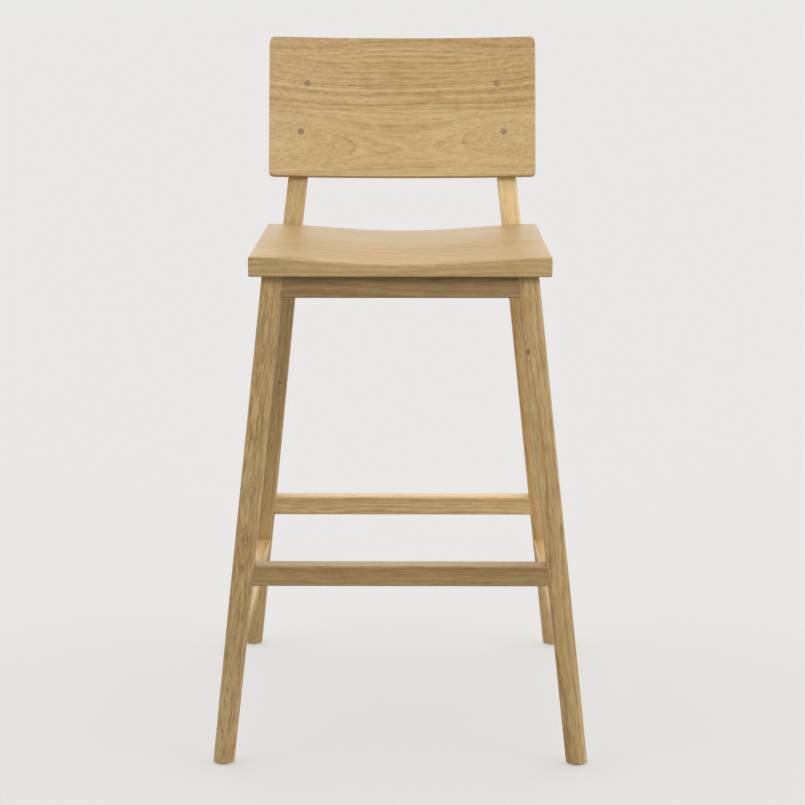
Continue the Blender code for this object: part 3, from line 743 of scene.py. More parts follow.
@dataclass
class Leg:
    """One splayed leg; a rear leg carries on above the seat as a leaning post.

    Attributes:
        end: Front or rear.
        side: Left or right.
        board: How the leg lies in its log.
        edge: Radius along the leg's edges.
        foot_edge: The same radius at the floor, where the foot is nearly round.
        blend: Height over which the edges round off.
        chamfer: Radius round the sole.
        tip: Radius round a post's top.
        steps: Facets in each rounded edge.
    """

    end: End
    side: Side
    board: Board
    layout: Layout
    edge: float = 0.0035
    foot_edge: float = 0.0125
    blend: float = 0.26
    chamfer: float = 0.0010
    tip: float = 0.0025
    steps: int = 6

    @property
    def node(self) -> str:
        """The CAD node's name."""
        return f"{self.end.word}_leg_{self.side.word}"

    def radius(self, height: float) -> float:
        """Return the radius of the leg's edges at a height."""
        if height >= self.blend:
            return self.edge
        return self.edge + (self.foot_edge - self.edge) * (1 - height / self.blend) ** 1.5

    def section(self, height: float, inward: float = 0.0, front: Optional[float] = None,
                level: Optional[float] = None) -> Ring:
        """Return the leg's section.

        Args:
            height: The height that the faces are taken at.
            inward: How far the section is drawn in all round.
            front: A front face that overrules the leg line's.
            level: The height that the section is put at, if another.

        Returns:
            The rounded outline.
        """
        centre, low_y, high_y = self.layout.leg(self.end)(height)
        low_y = low_y if front is None else front
        x = self.side.value * centre
        half = self.layout.leg_width / 2 - inward
        z = height if level is None else level
        corners = [Vector((x + a * half, y, z))
                   for a, y in ((1, high_y - inward), (-1, high_y - inward),
                                (-1, low_y + inward), (1, low_y + inward))]
        return rounded_ring(corners, max(self.radius(height) - inward, 0.3 * MM), self.steps)

    def foot_rings(self) -> list[Ring]:
        """Return the sections that round the sole's edge."""
        foot = self.layout.leg_foot
        rings = []
        for step in range(5):
            angle = math.radians(90.0 * step / 4)
            rise = self.chamfer * (1 - math.sin(angle))
            drawn = self.chamfer * (1 - math.cos(angle))
            rings.append((foot + rise, drawn))
        return [self.section(foot + self.chamfer, drawn, level=z) for z, drawn in reversed(rings)]

    def rings(self) -> list[Ring]:
        """Return the leg's sections from the sole up."""
        layout = self.layout
        top = layout.seat_under - layout.gap
        first = layout.leg_foot + 2 * self.chamfer
        count = 22
        heights = [mix(first, self.blend, (i / count) ** 1.3) for i in range(count)]
        heights += [mix(self.blend, top, i / 12) for i in range(13)]
        rings = self.foot_rings() + [self.section(h) for h in heights]
        if self.end is End.FRONT:
            return rings
        return rings + self.post_rings(top)

    def post_rings(self, shoulder: float) -> list[Ring]:
        """Return the sections of the post, from the shoulder that the seat rests on."""
        layout = self.layout
        bend = 0.030
        behind = layout.seat_rear + layout.gap
        start = layout.rear_leg(layout.seat_under)[2]
        finish = layout.rear_leg(layout.seat_under + bend)
        rings = []
        for step in range(9):
            share = step / 8
            height = shoulder + bend * share + layout.gap
            front = max(behind, layout.post_face(height))
            eased = mix(start, finish[2], share) - 0.0022 * math.sin(math.pi * share)
            rings.append(self.post_section(height, front, eased))
        for step in range(1, 9):
            height = mix(layout.seat_under + bend, layout.post_top - 2 * self.tip, step / 8)
            rings.append(self.section(height))
        for step in range(1, 5):
            angle = math.radians(90.0 * step / 4)
            level = layout.post_top - self.tip * (1 - math.sin(angle))
            rings.append(self.section(layout.post_top, self.tip * (1 - math.cos(angle)), level=level))
        return rings

    def post_section(self, height: float, front: float, rear: float) -> Ring:
        """Return a section of the bend between leg and post."""
        centre = self.side.value * self.layout.rear_leg(height)[0]
        half = self.layout.leg_width / 2
        corners = [Vector((centre + a * half, y, height)) for a, y in ((1, rear), (-1, rear), (-1, front), (1, front))]
        return rounded_ring(corners, self.edge, self.steps)

    def shell(self, low: float, high: float, grow: float = 0.05 * MM) -> bpy.types.Object:
        """Return the leg's outer shape between two heights, for coping a rail to it.

        Args:
            low: The rail's lowest height.
            high: The rail's highest height.
            grow: Hairline left between leg and rail.

        Returns:
            The cutter.
        """
        heights = [mix(low - 0.02, high + 0.02, step / 8) for step in range(9)]
        rings = []
        for height in heights:
            level = min(height, self.layout.seat_under)
            rings.append(self.section(level, -grow, level=height))
        return skin(f"{self.node}_shell", rings)

    def build(self, cutters: Sequence[bpy.types.Object]) -> None:
        """Skin the leg, cut its mortises and bores, and dress it."""
        leg = skin(f"oak_{self.node}", self.rings())
        combine(leg, cutters, "DIFFERENCE")
        keep_flats_flat(leg)
        hand_over(leg, PANEL_OAK.material(f"oak_oiled_{self.node}", self.board), "oak_leg", self.node)


# -------------------------------------------------------------------------- rails

@dataclass
class Rail:
    """A rail between two legs, with a tenon on each end or slots for loose tenons.

    Attributes:
        node: The CAD node's name.
        starts: Corners of one end's shoulder, in order round the rail.
        finishes: Corners of the other end's shoulder.
        outward: Direction from the first end to the second.
        tenons: Whether the rail has tenons of its own.
        board: How the rail lies in its log.
        ease: Radius along the long edges.
        tenon_length: How far a tenon reaches into the leg.
        tenon_shoulder: Width of the shoulder round a tenon.
    """

    node: str
    starts: Ring
    finishes: Ring
    outward: Vector
    tenons: bool
    board: Board
    ease: float = 0.0025
    tenon_length: float = 0.017
    tenon_shoulder: float = 0.0055
    gap: float = 0.3 * MM
    cope: float = 0.004
    steps: int = 5

    def rings(self) -> list[Ring]:
        """Return the body's sections, run on into the legs that it is coped to."""
        spare = self.outward * self.cope
        ends = [shifted(self.starts, -spare), shifted(self.finishes, spare)]
        return [rounded_ring([a.lerp(b, step / 12) for a, b in zip(*ends)], self.ease, self.steps)
                for step in range(13)]

    def own_tenons(self) -> list[bpy.types.Object]:
        """Return the rail's two tenons, rooted in its body."""
        made = []
        for name, end, way in (("first", self.starts, -1), ("last", self.finishes, 1)):
            root = rounded_ring(inset(end, self.tenon_shoulder), 0.0015, self.steps)
            made.append(skin(f"{self.node}_tenon_{name}",
                             [shifted(root, -self.outward * way * self.cope),
                              shifted(root, self.outward * way * self.tenon_length)]))
        return made

    def mortises(self) -> tuple[bpy.types.Object, bpy.types.Object]:
        """Return the cutters for the two mortises that take the tenons."""
        made = []
        for name, end, way in (("first", self.starts, -1), ("last", self.finishes, 1)):
            hole = rounded_ring(inset(end, self.tenon_shoulder - self.gap), 0.0015, self.steps)
            made.append(skin(f"{self.node}_mortise_{name}",
                             [shifted(hole, -self.outward * way * 4 * self.gap),
                              shifted(hole, self.outward * way * (self.tenon_length + self.gap))]))
        return made[0], made[1]

    def build(self, legs: Sequence[bpy.types.Object], slots: Sequence[bpy.types.Object] = ()) -> None:
        """Skin the rail, scribe its ends to the legs, joint it and dress it.

        Args:
            legs: Cutters with the shape of the legs.
            slots: Cutters for the slots of loose tenons.
        """
        rail = skin(f"oak_{self.node}", self.rings())
        combine(rail, legs, "DIFFERENCE")
        if self.tenons:
            combine(rail, self.own_tenons(), "UNION")
        if slots:
            combine(rail, slots, "DIFFERENCE")
        keep_flats_flat(rail)
        hand_over(rail, PANEL_OAK.material(f"oak_oiled_{self.node}", self.board), "oak_rail", self.node)


@dataclass
class LooseTenon:
    """A beech loose tenon between an apron and a leg."""

    node: str

    def slot(self, grow: float = 0.3 * MM) -> bpy.types.Object:
        """Return the cutter for the slots that take the tenon."""
        low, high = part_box(self.node)
        return skin(f"{self.node}_slot", self.rings(low - Vector((grow,) * 3), high + Vector((grow,) * 3)))

    def rings(self, low: Vector, high: Vector) -> list[Ring]:
        """Return the tenon's sections, rounded like a router bit's slot."""
        size = high - low
        if size.x > size.y:
            ends = [[Vector((x, y, z)) for y, z in
                     ((low.y, low.z), (high.y, low.z), (high.y, high.z), (low.y, high.z))]
                    for x in (low.x, high.x)]
        else:
            ends = [[Vector((x, y, z)) for x, z in
                     ((low.x, low.z), (high.x, low.z), (high.x, high.z), (low.x, high.z))]
                    for y in (low.y, high.y)]
        radius = min(size.x, size.y, size.z) * 0.48
        return [rounded_ring(end, radius, 6) for end in ends]

    def build(self) -> None:
        """Skin the tenon and dress it."""
        low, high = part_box(self.node)
        tenon = skin(f"beech_{self.node}", self.rings(low, high))
        keep_flats_flat(tenon)
        hand_over(tenon, BEECH.material(), "beech", self.node)


# ------------------------------------------------------------------ seat and back

@dataclass
class SeatPanel:
    """The hollowed seat, glued up from boards that run from side to side.

    Attributes:
        dish: Depth of the hollow in the middle.
        ease: Radius round the panel's edges.
        columns: Facets across the hollow.
        boards: Board edges behind the seat's middle, as seams.
    """

    board: Board
    dish: float = 0.011
    ease: float = 0.0030
    columns: int = 72
    rows: int = 9

    def tree(self) -> bpy.types.NodeTree:
        """Build the geometry tree that hollows a board.

        Returns:
            A tree with the inputs Size, Centre, Dish, Columns and Finish.
        """
        tree = bpy.data.node_groups.new("hollowed_panel", "GeometryNodeTree")
        for name, kind in (("Geometry", "NodeSocketGeometry"), ("Size", "NodeSocketVector"),
                           ("Centre", "NodeSocketVector"), ("Dish", "NodeSocketFloat"),
                           ("Columns", "NodeSocketInt"), ("Rows", "NodeSocketInt"),
                           ("Finish", "NodeSocketMaterial")):
            tree.interface.new_socket(name, in_out="INPUT", socket_type=kind)
        tree.interface.new_socket("Geometry", in_out="OUTPUT", socket_type="NodeSocketGeometry")
        given = add_node(tree, "NodeGroupInput").outputs
        block = add_node(tree, "GeometryNodeMeshCube",
                         {"Size": given["Size"], "Vertices X": given["Columns"], "Vertices Y": given["Rows"],
                          "Vertices Z": 2})
        place = add_node(tree, "ShaderNodeSeparateXYZ", {0: add_node(tree, "GeometryNodeInputPosition").outputs[0]})
        width = add_node(tree, "ShaderNodeSeparateXYZ", {0: given["Size"]}).outputs[0]

        def sum_of(kind: str, *values: object) -> bpy.types.NodeSocket:
            """Return the result of one sum."""
            return add_node(tree, "ShaderNodeMath", dict(enumerate(values)), operation=kind).outputs[0]

        share = sum_of("DIVIDE", place.outputs[0], sum_of("MULTIPLY", width, 0.5))
        slope = sum_of("SUBTRACT", 1.0, sum_of("MULTIPLY", share, share))
        hollow = sum_of("MULTIPLY", given["Dish"], sum_of("MULTIPLY", slope, slope))
        on_top = sum_of("GREATER_THAN", place.outputs[2], 0.0)
        drop = add_node(tree, "ShaderNodeCombineXYZ", {2: sum_of("MULTIPLY", sum_of("MULTIPLY", hollow, on_top), -1.0)})
        carved = add_node(tree, "GeometryNodeSetPosition",
                          {"Geometry": block.outputs["Mesh"], "Offset": drop.outputs[0]})
        placed = add_node(tree, "GeometryNodeTransform",
                          {"Geometry": carved.outputs[0], "Translation": given["Centre"]})
        real = add_node(tree, "GeometryNodeRealizeInstances", {0: placed.outputs[0]})
        dressed = add_node(tree, "GeometryNodeSetMaterial",
                           {"Geometry": real.outputs[0], "Material": given["Finish"]})
        add_node(tree, "NodeGroupOutput", {0: dressed.outputs[0]})
        return tree

    def build(self, cutters: Sequence[bpy.types.Object]) -> None:
        """Carve the seat, bore its screw holes, round its edges and dress it."""
        low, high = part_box("seat_panel")
        material = PANEL_OAK.material("oak_oiled_seat", self.board)
        seat = grown("oak_seat_panel", self.tree(),
                     {"Size": high - low, "Centre": (low + high) / 2, "Dish": self.dish, "Columns": self.columns,
                      "Rows": self.rows, "Finish": material})
        ease_edges(seat, self.ease, 5)
        combine(seat, cutters, "DIFFERENCE")
        keep_flats_flat(seat)
        hand_over(seat, material, "oak_panel", "seat_panel")


def grown(name: str, tree: bpy.types.NodeTree, inputs: dict[str, object]) -> bpy.types.Object:
    """Run a geometry tree and keep its result as a plain mesh.

    Args:
        name: The new piece's name.
        tree: The geometry tree.
        inputs: Values of the tree's named inputs.

    Returns:
        The new piece, with no modifier left.
    """
    piece = bpy.data.objects.new(name, bpy.data.meshes.new(name))
    bpy.context.scene.collection.objects.link(piece)
    nodes = piece.modifiers.new(name, "NODES")
    nodes.node_group = tree
    sockets = {item.name: item.identifier for item in tree.interface.items_tree
               if item.item_type == "SOCKET" and item.in_out == "INPUT"}
    for label, value in inputs.items():
        nodes[sockets[label]] = value
    bake_modifiers(piece)
    return piece


@dataclass
class Backrest:
    """The curved panel that the posts are let into, with its plugs.

    Attributes:
        board: How the panel lies in its log.
        radius: Horizontal curve of the front face.
        width: Straight width from end to end.
        height: Height along the lean.
        thickness: Thickness of the panel.
        corner: Radius of the outline's corners.
        ease: Radius round the panel's edges.
        plug_radius: Radius of the plugs over the screws.
        plug_deep: Depth of a plug.
        plug_proud: How far a plug stands out of the face; not used.
    """

    board: Board
    layout: Layout
    radius: float = 1.742
    width: float = 0.4248
    height: float = 0.2243
    thickness: float = 0.020
    corner: float = 0.008
    ease: float = 0.003
    inset: float = 0.0105
    centre_rise: float = 0.1798
    plug_radius: float = 0.00475
    plug_deep: float = 0.006
    plug_proud: float = 0.0003
    seat_height: float = field(default_factory=lambda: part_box("seat_panel")[1].z)

    @property
    def lean_back(self) -> Vector:
        """Return the direction square to the panel, towards the rear."""
        return Vector((0.0, math.cos(self.layout.lean), -math.sin(self.layout.lean)))

    @property
    def lean_up(self) -> Vector:
        """Return the direction up the panel."""
        return Vector((0.0, math.sin(self.layout.lean), math.cos(self.layout.lean)))

    def point(self, across: float, up: float, behind: float) -> Vector:
        """Return a point of the panel.

        Args:
            across: Distance from the middle along the curve.
            up: Distance above the middle along the lean.
            behind: Distance behind the front face.

        Returns:
            The point in the stool's frame.
        """
        level = self.seat_height + self.centre_rise
        middle = Vector((0.0, self.layout.post_face(level), level)) - self.lean_back * self.inset
        angle = across / self.radius
        reach = self.radius + behind
        bow = reach * math.cos(angle) - self.radius
        return middle + ACROSS * (reach * math.sin(angle)) + self.lean_back * bow + self.lean_up * up

    def columns(self) -> list[tuple[float, float]]:
        """Return the stations along the curve with the panel's half height there."""
        half = self.radius * math.asin(self.width / 2 / self.radius)
        flat = half - self.corner
        arc = []
        for step in range(9):
            angle = math.radians(90.0 * step / 8)
            arc.append((-flat - self.corner * math.cos(angle),
                        self.height / 2 - self.corner * (1 - math.sin(angle))))
        middle = [(mix(-flat, flat, step / 40), self.height / 2) for step in range(1, 40)]
        return arc + middle + [(-across, up) for across, up in reversed(arc)]

    def build(self, cutters: Sequence[bpy.types.Object]) -> None:
        """Skin the panel, round its edges, cut the posts' housings and dress it."""
        rings = [[self.point(across, -up, 0.0), self.point(across, up, 0.0),
                  self.point(across, up, self.thickness), self.point(across, -up, self.thickness)]
                 for across, up in self.columns()]
        panel = skin("oak_backrest_panel", rings)
        ease_edges(panel, self.ease, 5)
        combine(panel, cutters, "DIFFERENCE")
        keep_flats_flat(panel)
        hand_over(panel, PANEL_OAK.material("oak_oiled_backrest", self.board), "oak_panel", "backrest_panel")

    def housings(self) -> list[bpy.types.Object]:
        """Return the cutters for the posts' housings in the panel's back."""
        made = []
        level = self.seat_height + self.centre_rise
        for side in Side:
            leg = Leg(End.REAR, side, self.board, self.layout)
            rings = [leg.section(h, -self.layout.gap, level=h)
                     for h in (level - self.height, level, self.layout.post_top + self.layout.gap)]
            made.append(skin(f"post_housing_{side.word}", rings))
        return made

    def build_plug(self, node: str) -> bpy.types.Object:
        """Make one plug with a hair of a dome, and return the cutter for its hole."""
        low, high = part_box(node)
        middle = (low + high) / 2
        start = middle - self.lean_back * (self.plug_deep / 2)
        r = self.plug_radius
        profile = [(r * 0.55, 0.0), (r - 0.4 * MM, 0.06 * MM), (r, 0.5 * MM), (r, self.plug_deep)]
        plug = turned(f"oak_{node}", profile, start, self.lean_back)
        keep_flats_flat(plug)
        hand_over(plug, END_GRAIN_OAK.material(), "end_grain_oak", node)
        wide = r + self.layout.gap * 0.5
        return turned(f"{node}_hole", [(wide, -self.plug_deep), (wide, self.plug_deep + 3.6 * MM)],
                      start, self.lean_back)


# ------------------------------------------------------------ blocks, screws, feet

@dataclass
class WoodScrew:
    """A countersunk wood screw with a rolled thread and a cross recess.

    Attributes:
        shank: Radius of the core.
        head: Radius of the head.
        head_height: Height of the countersink.
        pitch: Rise of one turn of the thread.
        thread: How far the thread stands out of the core.
        plain: Share of the length with no thread.
    """

    shank: float = 0.00165
    head: float = 0.0041
    head_height: float = 0.0030
    pitch: float = 0.0018
    thread: float = 0.00045
    plain: float = 0.35
    rows: int = 200
    around: int = 25

    def tree(self) -> bpy.types.NodeTree:
        """Build the geometry tree of the screw, once.

        Returns:
            A tree with the inputs Length, Shank, Head, Head Height, Pitch, Thread and Finish.
        """
        name = "wood_screw"
        if name in bpy.data.node_groups:
            return bpy.data.node_groups[name]
        tree = bpy.data.node_groups.new(name, "GeometryNodeTree")
        tree.interface.new_socket("Geometry", in_out="INPUT", socket_type="NodeSocketGeometry")
        for label in ("Length", "Shank", "Head", "Head Height", "Pitch", "Thread", "Plain"):
            tree.interface.new_socket(label, in_out="INPUT", socket_type="NodeSocketFloat")
        tree.interface.new_socket("Finish", in_out="INPUT", socket_type="NodeSocketMaterial")
        tree.interface.new_socket("Geometry", in_out="OUTPUT", socket_type="NodeSocketGeometry")
        given = add_node(tree, "NodeGroupInput").outputs

        def sum_of(kind: str, *values: object) -> bpy.types.NodeSocket:
            """Return the result of one sum."""
            return add_node(tree, "ShaderNodeMath", dict(enumerate(values)), operation=kind).outputs[0]

        def ramp(value: object, low: object, high: object, first: object, last: object) -> bpy.types.NodeSocket:
            """Return a value carried from one range to another."""
            return add_node(tree, "ShaderNodeMapRange",
                            {"Value": value, "From Min": low, "From Max": high, "To Min": first,
                             "To Max": last}).outputs[0]

        sheet = add_node(tree, "GeometryNodeMeshGrid", {"Size X": 1.0, "Size Y": 1.0, "Vertices X": self.rows,
                                                        "Vertices Y": self.around})
        place = add_node(tree, "ShaderNodeSeparateXYZ", {0: add_node(tree, "GeometryNodeInputPosition").outputs[0]})
        run = sum_of("ADD", place.outputs[0], 0.5)
        turn = sum_of("ADD", place.outputs[1], 0.5)
        top = 2.0 / (self.rows - 1)
        depth = ramp(run, top, 1.0, 0.0, given["Length"])
        cone = ramp(depth, 0.0, given["Head Height"], given["Head"], given["Shank"])
        opened = sum_of("MULTIPLY", cone, ramp(run, 0.0, top, 0.0, 1.0))
        point_start = sum_of("SUBTRACT", given["Length"], sum_of("MULTIPLY", given["Shank"], 3.0))
        pointed = ramp(depth, point_start, given["Length"], 1.0, 0.0)
        phase = sum_of("SUBTRACT", sum_of("DIVIDE", depth, given["Pitch"]), turn)
        crest = sum_of("SUBTRACT", 1.0, sum_of("MULTIPLY", sum_of("PINGPONG", phase, 0.5), 4.0))
        ridge = sum_of("MAXIMUM", crest, 0.0)
        thread_start = sum_of("MULTIPLY", given["Length"], given["Plain"])
        threaded = ramp(depth, thread_start, sum_of("ADD", thread_start, given["Pitch"]), 0.0, 1.0)
        stand = sum_of("MULTIPLY", sum_of("MULTIPLY", ridge, given["Thread"]), threaded)
        radius = sum_of("MULTIPLY", sum_of("ADD", opened, stand), pointed)
        angle = sum_of("MULTIPLY", turn, math.tau)
        spot = add_node(tree, "ShaderNodeCombineXYZ",
                        {0: sum_of("MULTIPLY", radius, sum_of("COSINE", angle)),
                         1: sum_of("MULTIPLY", radius, sum_of("SINE", angle)),
                         2: sum_of("MULTIPLY", depth, -1.0)})
        rolled = add_node(tree, "GeometryNodeSetPosition", {"Geometry": sheet.outputs["Mesh"],
                                                            "Position": spot.outputs[0]})
        closed = add_node(tree, "GeometryNodeMergeByDistance", {"Geometry": rolled.outputs[0], "Distance": 0.002 * MM})
        bars = [add_node(tree, "GeometryNodeMeshCube", {"Size": size, "Vertices X": 2, "Vertices Y": 2,
                                                        "Vertices Z": 2}).outputs[0]
                for size in ((4.6 * MM, 1.1 * MM, 3.0 * MM), (1.1 * MM, 4.6 * MM, 3.0 * MM))]
        recessed = add_node(tree, "GeometryNodeMeshBoolean", {"Mesh 1": closed.outputs[0]},
                            operation="DIFFERENCE", solver="EXACT")
        for bar in bars:
            tree.links.new(bar, recessed.inputs["Mesh 2"])
        real = add_node(tree, "GeometryNodeRealizeInstances", {0: recessed.outputs[0]})
        dressed = add_node(tree, "GeometryNodeSetMaterial", {"Geometry": real.outputs[0], "Material": given["Finish"]})
        add_node(tree, "NodeGroupOutput", {0: dressed.outputs[0]})
        return tree

    def build(self, node: str, head_top: Vector, direction: Vector, length: float) -> None:
        """Roll one screw and put it in place.

        Args:
            node: The CAD node that it stands for.
            head_top: The middle of the head's face.
            direction: Where the screw points.
            length: Its length.
        """
        screw = grown(f"zinc_{node}", self.tree(),
                      {"Length": length, "Shank": self.shank, "Head": self.head,
                       "Head Height": self.head_height, "Pitch": self.pitch, "Thread": self.thread,
                       "Plain": self.plain, "Finish": ZINC.material()})
        turn = (-direction).to_track_quat("Z", "Y").to_matrix().to_4x4()
        screw.data.transform(Matrix.Translation(head_top) @ turn)
        bm = bmesh.new()
        bm.from_mesh(screw.data)
        bmesh.ops.recalc_face_normals(bm, faces=bm.faces)
        bm.to_mesh(screw.data)
        bm.free()
        keep_flats_flat(screw)
        hand_over(screw, ZINC.material(), "zinc_steel", node)

    def bore(self, node: str, head_top: Vector, direction: Vector, length: float,
             sink: bool) -> bpy.types.Object:
        """Return the cutter for the screw's bore, with its countersink if asked."""
        wide = self.shank + self.thread + 0.15 * MM
        profile = [(wide, -0.5 * MM if not sink else self.head_height), (wide, length + 0.3 * MM)]
        if sink:
            rim = self.head + 0.15 * MM
            profile = [(rim, -20.0 * MM), (rim, 0.1 * MM)] + profile
        return turned(f"{node}_bore", profile, head_top, direction, 24)


@dataclass
class CornerBlock:
    """A beech block glued and screwed in a corner under the seat."""

    end: End
    side: Side
    layout: Layout
    screw: WoodScrew
    ease: float = 0.0012

    @property
    def label(self) -> str:
        """Return the corner's name as the nodes spell it."""
        return f"{self.end.word}_{self.side.word}"

    def build(self, cutters: Sequence[bpy.types.Object]) -> None:
        """Copy the block's CAD shape, round its edges and dress it."""
        block = copy_of(f"corner_block_{self.label}", f"beech_corner_block_{self.label}")
        ease_edges(block, self.ease, 2)
        keep_flats_flat(block)
        hand_over(block, BEECH.material(), "beech", f"corner_block_{self.label}")


def copy_of(node: str, name: str) -> bpy.types.Object:
    """Return a new piece with a CAD node's shape, merged and with whole flat faces."""
    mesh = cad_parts[node].data.copy()
    bm = bmesh.new()
    bm.from_mesh(mesh)
    bmesh.ops.remove_doubles(bm, verts=bm.verts, dist=0.005 * MM)
    bmesh.ops.dissolve_limit(bm, angle_limit=math.radians(1.0), verts=bm.verts, edges=bm.edges)
    bm.to_mesh(mesh)
    bm.free()
    mesh.name = name
    piece = bpy.data.objects.new(name, mesh)
    bpy.context.scene.collection.objects.link(piece)
    return piece


@dataclass
class Glide:
    """A nail-in nylon glide under one foot."""

    node: str
    radius: float = 0.010
    thick: float = 0.0022
    pin: float = 0.0018
    pin_length: float = 0.014
    round: float = 0.0008

    def build(self) -> bpy.types.Object:
        """Turn the glide, dress it and return the cutter for its pin's hole."""
        low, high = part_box(self.node)
        start = Vector(((low.x + high.x) / 2, (low.y + high.y) / 2, 0.0))
        bead = []
        for step in range(6):
            angle = math.radians(90.0 * step / 5)
            bead.append((self.radius - self.round * (1 - math.sin(angle)), self.round * (1 - math.cos(angle))))
        profile = bead + [(self.radius, self.thick - 0.3 * MM), (self.radius - 0.3 * MM, self.thick),
                          (self.pin, self.thick), (self.pin, self.pin_length - 1.6 * MM),
                          (0.4 * MM, self.pin_length)]
        glide = turned(f"nylon_{self.node}", profile, start, UP, 48)
        keep_flats_flat(glide)
        hand_over(glide, NYLON.material(), "nylon", self.node)
        hole = self.pin + 0.2 * MM
        return turned(f"{self.node}_hole", [(hole, -MM), (hole, self.pin_length + 0.3 * MM)], start, UP, 24)


# -------------------------------------------------------------------- whole stool

@dataclass
class Stool:
    """The whole stool: cuts every joint, then builds each piece."""

    layout: Layout = field(default_factory=Layout)
    screw: WoodScrew = field(default_factory=WoodScrew)
    reveal: float = 0.0008
    apron_thick: float = 0.020
    apron_high: float = 0.0316
    stretcher_deep: float = 0.0315
    side_stretcher_wide: float = 0.028
    back_screw: float = 0.036
    leg_cutters: dict[tuple[End, Side], list[bpy.types.Object]] = field(default_factory=dict)

    def leg_direction(self, end: End, side: Side) -> Vector:
        """Return the direction up a leg."""
        low_x, low_y, _ = self.layout.leg(end)(0.1)
        high_x, high_y, _ = self.layout.leg(end)(0.6)
        return Vector((side.value * (high_x - low_x), high_y - low_y, 0.5)).normalized()

    def leg_board(self, end: End, side: Side, **figure: object) -> Board:
        """Return how a leg lies in its log."""
        x, front, rear = self.layout.leg(end)(0.4)
        return Board(Vector((side.value * x, (front + rear) / 2, 0.4)), self.leg_direction(end, side),
                     -INWARD, **figure)

    def leg_shells(self, node: str, places: Sequence[tuple[End, Side]]) -> list[bpy.types.Object]:
        """Return cutters with the shape of two legs, for coping the rail between them."""
        low, high = (corner.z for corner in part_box(node))
        return [Leg(end, side, Board(Vector(), UP, -INWARD), self.layout).shell(low, high)
                for end, side in places]

    def cross_corners(self, end: End, side: Side, low: float, high: float, deep: float) -> Ring:
        """Return the shoulder of a rail that runs from side to side."""
        corners = []
        for height, at_rear in ((low, 0), (low, 1), (high, 1), (high, 0)):
            centre, front, _ = self.layout.leg(end)(height)
            inner = side.value * (centre - self.layout.leg_width / 2 - self.layout.gap)
            corners.append(Vector((inner, front + self.reveal + at_rear * deep, height)))
        return corners

    def side_corners(self, end: End, side: Side, low: float, high: float, wide: float,
                     offset: float) -> Ring:
        """Return the shoulder of a rail that runs from front to back."""
        corners = []
        for height, across in ((low, -1), (low, 1), (high, 1), (high, -1)):
            centre, front, rear = self.layout.leg(end)(height)
            y = rear + self.layout.gap if end is End.FRONT else front - self.layout.gap
            corners.append(Vector((side.value * (centre + offset + across * wide / 2), y, height)))
        return corners

    def cross_rail(self, node: str, end: End, deep: float, tenons: bool, **figure: object) -> Rail:
        """Return a rail between the two legs of one end."""
        low, high = (corner.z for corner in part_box(node))
        ends = [self.cross_corners(end, side, low, high, deep) for side in Side]
        middle = sum(ends[0] + ends[1], Vector()) / 8
        return Rail(node, ends[0], ends[1], ACROSS, tenons, Board(middle, ACROSS, -INWARD, **figure))

    def side_rail(self, node: str, side: Side, wide: float, offset: float, tenons: bool,
                  **figure: object) -> Rail:
        """Return a rail between the front and rear legs of one side."""
        low, high = (corner.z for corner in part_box(node))
        ends = [self.side_corners(end, side, low, high, wide, offset) for end in End]
        middle = sum(ends[0] + ends[1], Vector()) / 8
        return Rail(node, ends[0], ends[1], INWARD, tenons,
                    Board(middle, INWARD, ACROSS * side.value, **figure))

    def build_rails(self) -> None:
        """Build the aprons, the stretchers and the loose tenons, and cut their joints."""
        for end, name, runs in ((End.FRONT, "front", (410.0, 1290.0)), (End.REAR, "rear", (2210.0, 3170.0))):
            cutters = []
            for side in Side:
                tenon = LooseTenon(f"{name}_apron_tenon_{side.word}")
                cutters.append(tenon.slot())
                self.leg_cutters[end, side].append(tenon.slot())
                tenon.build()
            apron = f"{name}_apron"
            legs = [(end, side) for side in Side]
            # The front apron's low shade is painted shadow, of the seat's overhang on it.
            shade = 0.51 if end is End.FRONT else 0.95
            self.cross_rail(apron, end, self.apron_thick, False, cut=Cut.RIFT, run_mm=runs[0],
                            shade=shade).build(self.leg_shells(apron, legs), cutters)
            node = "footrest" if end is End.FRONT else "rear_stretcher"
            # The footrest's low shade is painted shade, low in front under the seat.
            rail = self.cross_rail(node, end, self.stretcher_deep, True, cut=Cut.RIFT,
                                   run_mm=runs[1], shade=0.60 if end is End.FRONT else 1.1)
            for side, hole in zip(Side, rail.mortises()):
                self.leg_cutters[end, side].append(hole)
            rail.build(self.leg_shells(node, legs))
        for side in Side:
            offset = self.layout.leg_width / 2 - self.reveal - self.apron_thick / 2
            cutters = []
            for end in End:
                tenon = LooseTenon(f"{side.word}_apron_tenon_{end.word}")
                cutters.append(tenon.slot())
                self.leg_cutters[end, side].append(tenon.slot())
                tenon.build()
            run = 4100.0 + 600.0 * side.value
            apron, stretcher = f"{side.word}_apron", f"{side.word}_stretcher"
            legs = [(end, side) for end in End]
            self.side_rail(apron, side, self.apron_thick, offset, False, cut=Cut.RIFT,
                           run_mm=run).build(self.leg_shells(apron, legs), cutters)
            rail = self.side_rail(stretcher, side, self.side_stretcher_wide, 0.0, True,
                                  cut=Cut.HEART, run_mm=run + 1700.0)
            for end, hole in zip(End, rail.mortises()):
                self.leg_cutters[end, side].append(hole)
            rail.build(self.leg_shells(stretcher, legs))

    def build_blocks(self) -> list[bpy.types.Object]:
        """Build the corner blocks and their screws, and return the seat's screw bores."""
        bores = []
        for end in End:
            for side in Side:
                block = CornerBlock(end, side, self.layout, self.screw)
                block.build([])
                for kind, direction in (("block", ACROSS * side.value), ("seat", UP)):
                    node = f"{kind}_screw_{block.label}"
                    low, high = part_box(node)
                    middle = (low + high) / 2
                    length = abs((high - low).dot(direction))
                    head = middle - direction * (length / 2)
                    self.screw.build(node, head, direction, length)
                    if kind == "seat":
                        bores.append(self.screw.bore(node, head, direction, length, False))
        return bores

